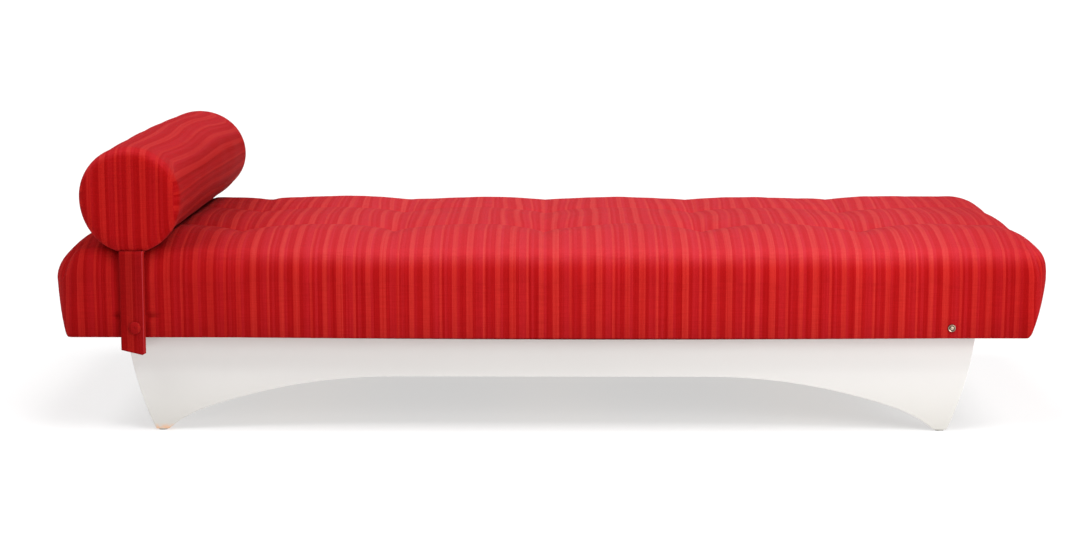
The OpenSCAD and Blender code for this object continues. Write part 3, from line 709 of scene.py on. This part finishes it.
def make_mattress():
    u_lines = graded_lines(half_len - rim_inset, edge_step)
    v_lines = graded_lines(half_w - rim_inset, edge_step)
    nu, nv = len(u_lines), len(v_lines)
    walk = [(i, 0) for i in range(nu)] + [(nu - 1, j) for j in range(1, nv)]
    walk += [(i, nv - 1) for i in range(nu - 2, -1, -1)] + [(0, j) for j in range(nv - 2, 0, -1)]
    walk_u = u_lines[[w[0] for w in walk]]
    walk_v = v_lines[[w[1] for w in walk]]
    ring = len(walk)
    on_end_panel = (np.abs(walk_u) == 1) & (np.abs(walk_v) * half_w < half_w - corner_r + 0.004)
    on_seam = on_end_panel & ~(np.roll(on_end_panel, 1) & np.roll(on_end_panel, -1))
    places, marks = [], []

    def end_extra(x):
        """Cloth that the rounding of an end takes up."""
        share = np.clip((np.abs(x) - (half_len - left_round)) / left_round, 0, 1)
        return end_cloth * share ** 2

    def edge_mark(x, angle):
        """Place across the stripes, measured round the corner where there is one."""
        bent = half_len - corner_r + corner_r * angle
        return np.sign(x) * np.where(angle > 0, bent, np.abs(x))

    def along_ring(x, y):
        """How far each point of a ring lies from mid front or mid back, measured along the ring."""
        order = np.roll(np.arange(ring), -walk.index((0, nv // 2)))
        steps = np.hypot(np.diff(x[order]), np.diff(y[order]))
        run = np.concatenate([[0], np.cumsum(steps)])
        place = np.empty(ring)
        place[order] = run
        front, back = place - place[walk.index((nu // 2, 0))], place[walk.index((nu // 2, nv - 1))] - place
        return np.where(walk_v < 0, front, back)

    def add_ring(x, y, z, angle, outline=None):
        across = along_ring(*outline) if outline else edge_mark(x, angle)
        along = np.sign(y) * (half_w + np.maximum(seat_z + bulge_h - z, 0) + side_cloth)
        places.append(np.stack([x, y, z], -1))
        marks.append(np.stack([across, along], -1))

    # underside: cavity, window and fold, from inside to outside
    rail_z = seat_z + cloth_t
    for inset, z in (
            (-frame_clear, seat_z + cavity_h), (-frame_clear, rail_z), (fold_w, rail_z), (fold_w, seat_z)):
        hx, hy = frame_half_len - inset, frame_half_w - inset
        add_ring(walk_u * hx, walk_v * hy, np.full(ring, z), np.zeros(ring))
    for inset, rise, hang in ((0.030, 0, 0), (0.010, 0, 0.7), (0.0022, 0.0004, 1), (0.0006, 0.0020, 1)):
        x, y, angle = plan(walk_u, walk_v, end_tuck_at(walk_u) + inset, side_tuck + inset, low_corner_r)
        add_ring(x, y, seat_z + rise - hang * droop(x), angle)

    # sides, with their fullness and what the studs draw in
    for k in range(side_rings):
        share = first_ring + (1 - first_ring) * k / side_rings
        h = share * bulge_h
        tuck = (1 - share) ** tuck_power
        corner = low_corner_r + (corner_r - low_corner_r) * smooth(share)
        x, y, angle = plan(walk_u, walk_v, end_tuck_at(walk_u) * tuck, side_tuck * tuck, corner)
        sway = (1 - share) * hem_wave * ripple(x, y, 0.31, 2.0)
        fullness = slow_wave * np.sin(np.pi * share) * ripple(x, y, 0.36, 5.0)
        y = y + fullness * np.sign(y) * (angle < 1)
        outline = (x, y)
        y = y - np.sign(y) * (angle < 1) * snap_dent(x, seat_z + h)
        x = x - np.sign(x) * seam_groove * on_seam
        z = seat_z + h + sway * (share < 0.5) - droop(x) * (1 - share) ** 2
        add_ring(x, y, z, angle, outline)

    # edge, where sides and ends turn into the top
    for k in range(lip_rings):
        share = (k / lip_rings) ** 2
        x, y, z, angle, from_end, from_side = top_place(walk_u, walk_v, rim_inset * share, share)
        x = x - np.sign(x) * seam_groove * on_end_panel * (k == 0)
        add_ring(x, y, z, angle)
    ring_count = len(places)

    # top
    gu, gv = np.meshgrid(u_lines, v_lines)
    x, y, z, angle, from_end, from_side = top_place(gu, gv, rim_inset)
    calm = np.clip(np.minimum(from_side / calm_run, from_end / calm_run), 0, 1)
    z = z + calm * (slow_wave * ripple(x, y, 0.29, 1.0) + fine_wave * ripple(x, y, 0.083, 3.0))

    # gathers that run out from each tuft
    gather = np.zeros_like(z)
    drawn_x = np.zeros_like(z)
    for i, tuft_x in enumerate(tuft_places):
        for j in range(1, cells_wide):
            tuft_y = (2 * j / cells_wide - 1) * (half_w - rim_inset)
            dx, dy = x - tuft_x, y - tuft_y
            reach = np.hypot(dx, dy)
            spokes = np.cos(gather_folds * np.arctan2(dy, dx) + i + 2 * j + 1)
            strength = gather_depth * spokes * np.exp(-reach / gather_reach)
            gather += strength * np.clip(reach / gather_start, 0, 1)
            drawn_x += dx * drawn_share * np.exp(-(reach / drawn_reach) ** 2)
    z = z + gather
    rim = smooth(np.minimum(from_end, from_side) / rim_run)
    across_top = x + np.sign(x) * end_extra(x) + drawn_x
    across_edge = edge_mark(x, angle)
    across_edge = np.where(angle >= np.pi / 2 - 1e-6, np.sign(x) * (half_len + end_cloth), across_edge)
    across = across_edge * (1 - rim) + across_top * rim
    along = y * (1 + edge_cloth / half_w * (1 - rim))
    places.append(np.stack([x, y, z], -1).reshape(-1, 3))
    marks.append(np.stack([across, along], -1).reshape(-1, 2))
    marks = np.concatenate(marks)

    # the bolster's weight presses a trough into the top
    points = np.concatenate(places)
    points[:, 2] = np.minimum(points[:, 2], bolster_under(points[:, 0], points[:, 1]))
    top_start = ring_count * ring

    def ring_point(level, k):
        k %= ring
        if level < ring_count:
            return level * ring + k
        return top_start + walk[k][1] * nu + walk[k][0]

    def end_panel_marks(points, marks, faces):
        """Marks of all corners. The top's width runs on over the ends to a seam. Below the seam the end
        panels are pieces of their own, with upright stripes."""
        corners = [marks[list(face)] for face in faces]
        columns = np.flatnonzero(on_end_panel & np.roll(on_end_panel, -1))
        top_side = ring_count - lip_rings
        for level in range(top_side - side_rings - 3, top_side):
            for k in columns:
                number = level * ring + k
                corners[number] = points[list(faces[number])][:, 1:]
        run = np.zeros(ring)
        for level in range(ring_count - 1, top_side - 1, -1):
            low = points[[ring_point(level, k) for k in range(ring)]]
            high = points[[ring_point(level + 1, k) for k in range(ring)]]
            longer = run + np.linalg.norm(high - low, axis=1)
            for k in columns:
                n = (k + 1) % ring
                down = np.array((longer[k], longer[n], run[n], run[k]))
                corners[level * ring + k][:, 0] = np.sign(low[k, 0]) * (half_len + end_cloth + down)
            run = longer
        return np.concatenate(corners)

    faces = []
    for level in range(ring_count):
        for k in range(ring):
            faces.append((
                ring_point(level, k), ring_point(level, k + 1),
                ring_point(level + 1, k + 1), ring_point(level + 1, k)))
    flat = list(range(4 * ring))
    for j in range(nv - 1):
        for i in range(nu - 1):
            a = top_start + j * nu + i
            faces.append((a, a + 1, a + nu + 1, a + nu))
    flat.append(len(faces))
    faces.append([ring - 1 - k for k in range(ring)])
    return make_cloth_mesh("mattress_wool", points, faces, end_panel_marks(points, marks, faces), wool, flat)


mattress = make_mattress()
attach(mattress, "mattress")
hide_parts("mattress_cover")


# Dust cover
# Black cloth closes the frame from below and keeps the dust of the felt off the floor. It is drawn
# tight and stapled under the four rails.
dust_tone, lint_tone = (34, 34, 36), (92, 90, 88)
dust_pitch = 0.0018


def make_dust_cloth():
    finish, tree, shader = new_finish("black_dust_cloth", 0.95)
    place = object_place(tree)
    parts = add_node(tree, "SeparateXYZ", Vector=place)
    lengthwise, crosswise = [waves(tree, parts.outputs[axis], dust_pitch) for axis in "XY"]
    weave = times(tree, lengthwise, crosswise)
    lint = clouds(tree, place, 60.0, 5.0, 0.45, 0.75)
    body = mix_tones(tree, times(tree, lint, 0.4), tone(*dust_tone), tone(*lint_tone))
    paint(tree, shader, body)
    add_bump(tree, shader, weave, 0.3, 0.0004)
    return finish


dress("dust_cover", make_dust_cloth())


# Bolster
# A roll of foam in a tube of the same wool, its stripes running lengthwise. The tube is drawn in over
# each end and sewn to a domed disc, whose stripes stand upright.
disc_low, disc_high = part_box("bolster_front_disc")
disc_r = (disc_high.x - disc_low.x) / 2
dome_y = -disc_low.y
end_soft, end_square = 0.0275, 9
bolster_rise, bolster_bulge = 0.0035, 0.0055
bolster_spread, bolster_nip = 0.08, 0.30
seam_turn = math.acos((disc_r / bolster_r) ** (end_square / 2))
round_steps, tube_steps, disc_rings, sectors = 12, 104, 26, 224
angles = np.linspace(0, 2 * np.pi, sectors, endpoint=False)
seam_lap, seam_tuck = 0.07, 0.0005
inner_lap, inner_drop = 0.006, 0.004
pucker_depth = 0.00015
tube_puckers, tube_pucker_run = 46, 0.010
disc_puckers, disc_pucker_run = 44, 0.008
tube_slack, slack_run, tube_wave = 0.0007, 0.06, 0.006
face_stretch = 1.07
panel_half, panel_lap, panel_turn = 0.0915, 0.372, math.radians(62)
lap_start, lap_run = 0.035, 0.06
# The bolster's wool gets painted sheen where it faces up.
bolster_phase, bolster_gain, bolster_painted_sheen = 0.0, (0.77, 0.43, 0.45), 0.78


def end_place(a):
    """Place along the bolster and radius on its rounded end, from 0 at the side to a quarter turn."""
    along = dome_y - end_soft + end_soft * math.sin(a)
    return along, bolster_r * max(math.cos(a), 0) ** (2 / end_square)


def around_bolster(angle, y, r):
    """Points on a ring of the bolster, which lies a little askew and is fuller at its far end."""
    far = (y + bolster_half) / (2 * bolster_half)
    upper = 0.5 + 0.5 * np.cos(angle)
    sagging = bolster_sag(y) * (np.cos(angle) < 0)
    fuller = bolster_spread * upper - bolster_nip * (1 - upper) ** 10
    x = bolster_x + bolster_lean * y + r * np.sin(angle) * (1 + far * fuller)
    z = bolster_z + r * np.cos(angle) * (1 + sagging)
    z = z + (bolster_rise * far + bolster_bulge * np.sin(np.pi * np.clip(far, 0, 1))) * upper
    return np.stack([x, y, z], -1)


def tube_profile():
    """Places along the bolster and radii, from one end seam to the other."""
    tucked_y, tucked_r = end_place(seam_turn + seam_lap)
    ends = [(tucked_y - seam_tuck, tucked_r - seam_tuck)]
    ends += [end_place(seam_turn * k / round_steps) for k in range(round_steps, 0, -1)]
    straight = dome_y - end_soft
    middle = [(straight * (1 - 2 * k / tube_steps), bolster_r) for k in range(tube_steps + 1)]
    return ends + middle + [(-y, r) for y, r in reversed(ends)]


def make_tube():
    profile = tube_profile()
    seam_y = profile[0][0]
    inner_y, inner_r = seam_y - inner_lap, disc_r - inner_drop
    inner = [(-inner_y, inner_r), (inner_y, inner_r)]
    places = []
    for number, (y, r) in enumerate(profile + inner):
        ring_r = np.full(sectors, r)
        if number < len(profile):
            from_seam = seam_y - abs(y)
            pucker = pucker_depth * math.exp(-from_seam / tube_pucker_run)
            ring_r = ring_r - pucker * (1 + np.cos(tube_puckers * angles + 3 * np.sin(5 * angles) + (y > 0)))
            slack = tube_slack * min(from_seam / slack_run, 1)
            ring_r = ring_r - slack * (1 + ripple(angles * bolster_r, np.full(sectors, y), 0.216, 4.0))
        places.append(around_bolster(angles, np.full(sectors, y), ring_r))
    rings = len(places)
    points = np.concatenate(places)
    faces, marks = [], []
    for level in range(rings):
        for k in range(sectors):
            a, b = level * sectors, (level + 1) % rings * sectors
            n = (k + 1) % sectors
            faces.append((a + k, a + n, b + n, b + k))
            marks += tube_marks(points[[a + k, a + n, b + n, b + k]], k)
    return make_cloth_mesh("bolster_tube", points, faces, marks, bolster_wool)


def tube_marks(corners, k):
    """Places on the cloth of one face. Near the end its square end panel laps over the round."""
    step = 2 * math.pi / sectors
    low = k * step - (2 * math.pi if k >= sectors / 2 else 0)
    turned = (low, low + step, low + step, low)
    middle = corners.mean(0)
    sideways = middle[0] - bolster_x - bolster_lean * middle[1]
    upper = abs(low + step / 2) < panel_turn
    lapped = abs(sideways) < panel_half and abs(middle[1]) > panel_lap
    marks = []
    for (x, y, z), a in zip(corners, turned):
        x = face_stretch * (x - bolster_x - bolster_lean * y)
        share = smooth((abs(y) - panel_lap + lap_start) / lap_run) if upper else float(lapped)
        swing = math.sin(2 * math.pi * (y - 0.6 * a * bolster_r) / 0.52 + 0.8)
        wave = tube_wave * swing * math.sin(1.5 * a + 1)
        marks.append(((bolster_r * a + wave) * (1 - share) + x * share, y if upper or not lapped else z))
    return marks


bolster_wool = make_wool("bolster_wool", bolster_phase, bolster_gain, bolster_painted_sheen)
bolster_tube = make_tube()
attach(bolster_tube, "bolster")
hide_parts("bolster_cover")


def make_disc(name, side):
    """Domed end disc, which goes on with the round of the tube from the seam to the middle."""
    low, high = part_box(name)
    back_y = low.y if side > 0 else -high.y
    places = []
    for k in range(disc_rings):
        share = (max(k - 1, 0) / (disc_rings - 1)) ** 1.4
        y, r = end_place(seam_turn + (math.pi / 2 - seam_turn) * share)
        if k == 0:
            y, r = end_place(seam_turn - seam_lap)
            y, r = y - seam_tuck, r - seam_tuck
        pucker = pucker_depth * math.exp(-(disc_r - r) / disc_pucker_run)
        wave = y - pucker * (1 + np.cos(disc_puckers * angles + 2 * np.sin(7 * angles)))
        places.append(around_bolster(angles, side * wave, np.full(sectors, r)))
    points = np.concatenate(places)
    centre = np.array([[bolster_x + bolster_lean * side * dome_y, side * dome_y, bolster_z]])
    back = points[:sectors].copy()
    back[:, 1] = side * back_y
    points = np.concatenate([points, centre, back])
    middle_x = bolster_x + bolster_lean * points[:, 1]
    marks = np.stack([face_stretch * (points[:, 0] - middle_x), points[:, 2] - bolster_z], -1)
    faces = []
    middle = disc_rings * sectors
    last = middle - sectors
    for a in range(0, last, sectors):
        for k in range(sectors):
            n = (k + 1) % sectors
            faces.append((a + k, a + n, a + sectors + n, a + sectors + k))
    for k in range(sectors):
        n = (k + 1) % sectors
        faces.append((last + k, last + n, middle))
        faces.append((middle + 1 + k, middle + 1 + n, n, k))
    faces.append(tuple(range(middle + 1, middle + 1 + sectors))[::-1])
    if side > 0:
        faces = [face[::-1] for face in faces]
    return make_cloth_mesh(name + "_wool", points, faces, marks, bolster_wool, [len(faces) - 1])


for disc_name, side in (("bolster_front_disc", -1), ("bolster_back_disc", 1)):
    disc = make_disc(disc_name, side)
    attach(disc, "bolster")
    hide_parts(disc_name)
core = round_edges("bolster_core", "bolster", foam, 0.006, 3)
for point in core.data.vertices:
    point.co.x += bolster_lean * point.co.y


# Straps
# Each strap is a strip of the wool, folded double and sewn along its edges. It is sewn on under the
# end of the bolster, folds over and hangs down before the mattress's front or behind its back. Its
# tail is cut a little askew.
strap_low, strap_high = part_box("front_strap")
strap_half_w = (strap_high.x - strap_low.x) / 2
strap_x = (strap_high.x + strap_low.x) / 2
strap_outer_y, strap_inner_y = -strap_low.y, -strap_high.y
strap_t = strap_outer_y - strap_inner_y
strap_mid_y = (strap_outer_y + strap_inner_y) / 2
fold_z = strap_high.z - strap_t / 2
tab_heights = {-1: fold_z - 0.007, 1: fold_z + 0.0095}
tail_z = strap_low.z - 0.005
tab_in_y = -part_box("front_strap_tab")[1].y
fold_r = 0.0045
bend_steps, hang_steps, across_steps = 8, 60, 20
strap_edge, thin_edge = 0.0012, 0.09
stitch_depth, stitch_inset, stitch_spread = 0.00045, 0.004, 0.0000018
tail_skew, tail_cut, tail_cut_w = 0.012, 0.8, 0.007
strap_sway = 0.0009
strap_hang, strap_lean = 0.0040, 0.0029
strap_phase, strap_gain = 0.4515, (0.58, 0.36, 0.36)
# The strap's wool carries a painted highlight along the seam at this distance from its middle.
seam_line = 0.0212
strap_wool = make_wool("strap_wool", strap_phase, strap_gain, 0.0, seam=seam_line)


def strap_path(tab_z):
    """Places (y, z) of the strap's middle line from its root to its tail, and the way it faces."""
    end_y, hang_z = strap_mid_y - fold_r, tab_z - fold_r
    path = [(tab_in_y + (end_y - tab_in_y) * k / bend_steps, tab_z, 0.0) for k in range(bend_steps + 1)]
    for k in range(1, bend_steps + 1):
        a = math.pi / 2 * k / bend_steps
        path.append((end_y + fold_r * math.sin(a), hang_z + fold_r * math.cos(a), a))
    drop = hang_z - tail_z
    path += [(strap_mid_y, hang_z - drop * k / hang_steps, math.pi / 2) for k in range(1, hang_steps + 1)]
    return path


def ring_faces(rings, count, side, base=0):
    """Faces of a closed form made of rings of points, with a flat face over each end."""
    faces = []
    last = base + (rings - 1) * count
    for a in range(base, last, count):
        for k in range(count):
            n = (k + 1) % count
            faces.append((a + k, a + count + k, a + count + n, a + n))
    faces += [tuple(range(base, base + count)), tuple(range(last, last + count))[::-1]]
    return faces if side > 0 else [face[::-1] for face in faces]


def make_strap(name, side):
    tab_z = tab_heights[side]
    hang_z = tab_z - fold_r
    path = strap_path(tab_z)
    outline = []
    for k in range(across_steps + 1):
        share = 2 * k / across_steps - 1
        from_edge = (1 - abs(share)) * strap_half_w
        rounding = min(1.0, from_edge / strap_edge)
        thick = strap_t / 2 * math.sqrt(max(1 - (1 - rounding) ** 2, thin_edge))
        stitches = stitch_depth * math.exp(-(from_edge - stitch_inset) ** 2 / stitch_spread)
        outline.append((share * strap_half_w, thick - stitches))
    loop = outline + [(x, -t) for x, t in reversed(outline)]
    places, marks = [], []
    run = 0.0
    for number, (y, z, a) in enumerate(path):
        if number:
            run += math.hypot(y - path[number - 1][0], z - path[number - 1][1])
        down = max(0.0, (hang_z - z) / (hang_z - tail_z))
        hanging = a >= math.pi / 2
        shift = side * strap_lean * (1 - down) - strap_hang * down
        for x, t in loop:
            skew = tail_skew * down * (0.5 - x / strap_half_w / 2)
            corner_cut = max(0.0, x - (strap_half_w - tail_cut_w)) * tail_cut * max(0.0, down * 20 - 19)
            sway = strap_sway * math.sin(9 * down + 0.6 + x * 30) * min(1, down * 4) * (1 - 0.5 * down)
            out_y = y + t * math.sin(a) + sway * 0.5
            out_z = z + (skew + corner_cut if hanging else t * math.cos(a))
            places.append((strap_x + shift + x * (1 + 0.02 * (1 - down)), side * out_y, out_z))
            marks.append((x, -run))
    faces = ring_faces(len(path), len(loop), side)
    flat = [len(faces) - 2, len(faces) - 1]
    return make_cloth_mesh(name + "_wool", np.array(places), faces, marks, strap_wool, flat)


for strap_name, side in (("front_strap", -1), ("back_strap", 1)):
    strap = make_strap(strap_name, side)
    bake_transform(strap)
    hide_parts(strap_name, strap_name + "_tab")


# Covered buttons, press sockets and studs
# A wool covered button sits on each strap, with a press socket behind it. The sockets fit studs of
# nickel plated brass, riveted through the cloth of the front and the back.
nickel_tone = (212, 186, 164)
# Dirt and painted shade darken the studs in their recess and round their rim.
nickel_dirt_and_shade_tone = (38, 24, 22)
recess_r, rim_r = 0.0046, 0.0081
# The button's wool gets a little painted sheen where it faces up.
button_phase, button_gain, button_painted_sheen = 0.62, (0.60, 0.42, 0.42), 0.1
button_brim = ((0.86, 0.0), (0.97, 0.10), (1.0, 0.26), (0.985, 0.42))
button_dimple = ((0.16, 0.93), (0.07, 0.82))
flange_r, post_r, post_h = 0.008, 0.0035, 0.0028
stud_outline = [
    (flange_r * 0.8, -0.004), (flange_r, -0.0014), (flange_r, -0.0006), (flange_r * 0.94, 0.0),
    (flange_r * 0.84, 0.0001), (flange_r * 0.76, -0.0006), (post_r * 1.25, -0.0007),
    (post_r * 0.86, -0.0003), (post_r * 0.8, 0.0012), (post_r, 0.0017), (post_r * 0.98, 0.0023),
    (post_r * 0.8, 0.0027), (post_r * 0.3, post_h),
]


def make_nickel():
    finish, tree, shader = new_finish("nickel_plate", 0.3, Metallic=1.0)
    place = object_place(tree)
    wear = clouds(tree, place, 420.0, 4.0)
    body = mix_tones(tree, wear, tone(*nickel_tone), tone(*nickel_tone, 0.5))
    mark = add_node(tree, "UVMap", uv_map="cloth").outputs[0]
    from_middle = add_node(tree, "VectorMath", operation="LENGTH", i0=mark).outputs["Value"]
    # Dirt and painted shade: dark rings in the recess and round the rim.
    from_recess, from_rim = [
        maths(tree, "ABSOLUTE", maths(tree, "SUBTRACT", from_middle, r)) for r in (recess_r, rim_r)]
    dirt_and_shade = ramp(tree, maths(tree, "MINIMUM", from_recess, from_rim), 0.0012, 0.0005)
    paint(tree, shader, mix_tones(tree, dirt_and_shade, body, tone(*nickel_dirt_and_shade_tone)))
    vary_gloss(tree, shader, wear, 0.22, 0.45)
    return finish


def turned_piece(name, places, profiles, finish, side, sides=40):
    """One mesh of like turned pieces. A profile is a list of (radius, height out of the cloth)."""
    points, marks, faces = [], [], []
    for (x, y, z), profile in zip(places, profiles):
        base = len(points)
        for r, out in profile:
            for k in range(sides):
                a = 2 * math.pi * k / sides
                points.append((x + r * math.sin(a), y + side * out, z + r * math.cos(a)))
                marks.append((r * math.sin(a), r * math.cos(a)))
        faces += ring_faces(len(profile), sides, side, base)
    return make_cloth_mesh(name, np.array(points), faces, marks, finish)


nickel = make_nickel()
for socket in ("front_socket", "back_socket"):
    dress(socket, nickel)
button_wool = make_wool("button_wool", button_phase, button_gain, button_painted_sheen)
for side_name, side in (("front", -1), ("back", 1)):
    cap_low, cap_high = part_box(side_name + "_cap")
    cap_r, cap_h = (cap_high.x - cap_low.x) / 2, cap_high.y - cap_low.y
    base_y = cap_high.y if side < 0 else cap_low.y
    dome = [(cap_r * r, cap_h * h) for r, h in button_brim]
    for k in range(1, 9):
        a = math.pi / 2 * k / 10
        dome.append((cap_r * 0.985 * math.cos(a), cap_h * (0.42 + 0.58 * math.sin(a))))
    dome += [(cap_r * r, cap_h * h) for r, h in button_dimple]
    spot = ((cap_low.x + cap_high.x) / 2, base_y, (cap_low.z + cap_high.z) / 2)
    button = turned_piece(side_name + "_covered_button", [spot], [dome], button_wool, side)
    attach(button, side_name + "_strap")
    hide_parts(side_name + "_cap")

    low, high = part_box(side_name + "_studs")
    post_out = -low.y if side < 0 else high.y
    flange_y = post_out - post_h
    spots = [(x, side * flange_y, snap_z) for x in (bolster_x, spare_stud_x)]
    studs = turned_piece(side_name + "_press_studs", spots, [stud_outline, stud_outline], nickel, side)
    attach(studs, "mattress")
    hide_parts(side_name + "_studs")


# Room
# A plain white floor that shines a little by itself, as a lit studio table does, under a soft sky. Two
# wide soft lights hang overhead, and a third one stands in front, to the right of the camera.
floor_reach = 300
floor_white, floor_shine = 0.42, 0.572
sky_strength = 0.30
overhead_lights = (("overhead_right", 1.87, 24), ("overhead_left", 1.62, -28))
overhead_softness, overhead_tilt = math.radians(36), math.radians(15)
softbox_power, softbox_w, softbox_h = 98.0, 2.2, 1.8
softbox_place, softbox_aim = Vector((3.3, -3.2, 1.5)), Vector((0.2, 0.2, 0.2))
floor_data = bpy.data.meshes.new("floor")
floor_corners = [(floor_reach * x, floor_reach * y, 0) for x, y in ((-1, -1), (1, -1), (1, 1), (-1, 1))]
floor_data.from_pydata(floor_corners, [], [(0, 1, 2, 3)])
floor = add_object("floor", floor_data)
floor_finish = new_finish(
    "white_floor", 0.9, Specular_IOR_Level=0.0, Base_Color=(floor_white, floor_white, floor_white, 1),
    Emission_Color=(1, 1, 1, 1), Emission_Strength=floor_shine)[0]
floor_data.materials.append(floor_finish)

world = bpy.data.worlds.new("white_room")
world.use_nodes = True
sky = world.node_tree.nodes["Background"]
sky.inputs["Color"].default_value = (1, 1, 1, 1)
sky.inputs["Strength"].default_value = sky_strength
scene.world = world

for light_name, light_power, light_turn in overhead_lights:
    overhead_data = bpy.data.lights.new(light_name, "SUN")
    overhead_data.energy = light_power
    overhead_data.angle = overhead_softness
    overhead = add_object(light_name, overhead_data)
    overhead.rotation_euler = (overhead_tilt, math.radians(light_turn), 0)

softbox_data = bpy.data.lights.new("front_softbox", "AREA")
softbox_data.shape = "RECTANGLE"
softbox_data.size, softbox_data.size_y = softbox_w, softbox_h
softbox_data.energy = softbox_power
softbox = add_object("front_softbox", softbox_data)
softbox.location = softbox_place
softbox.rotation_euler = (softbox_aim - softbox_place).to_track_quat("-Z", "Y").to_euler()
scene.view_settings.view_transform = "Standard"
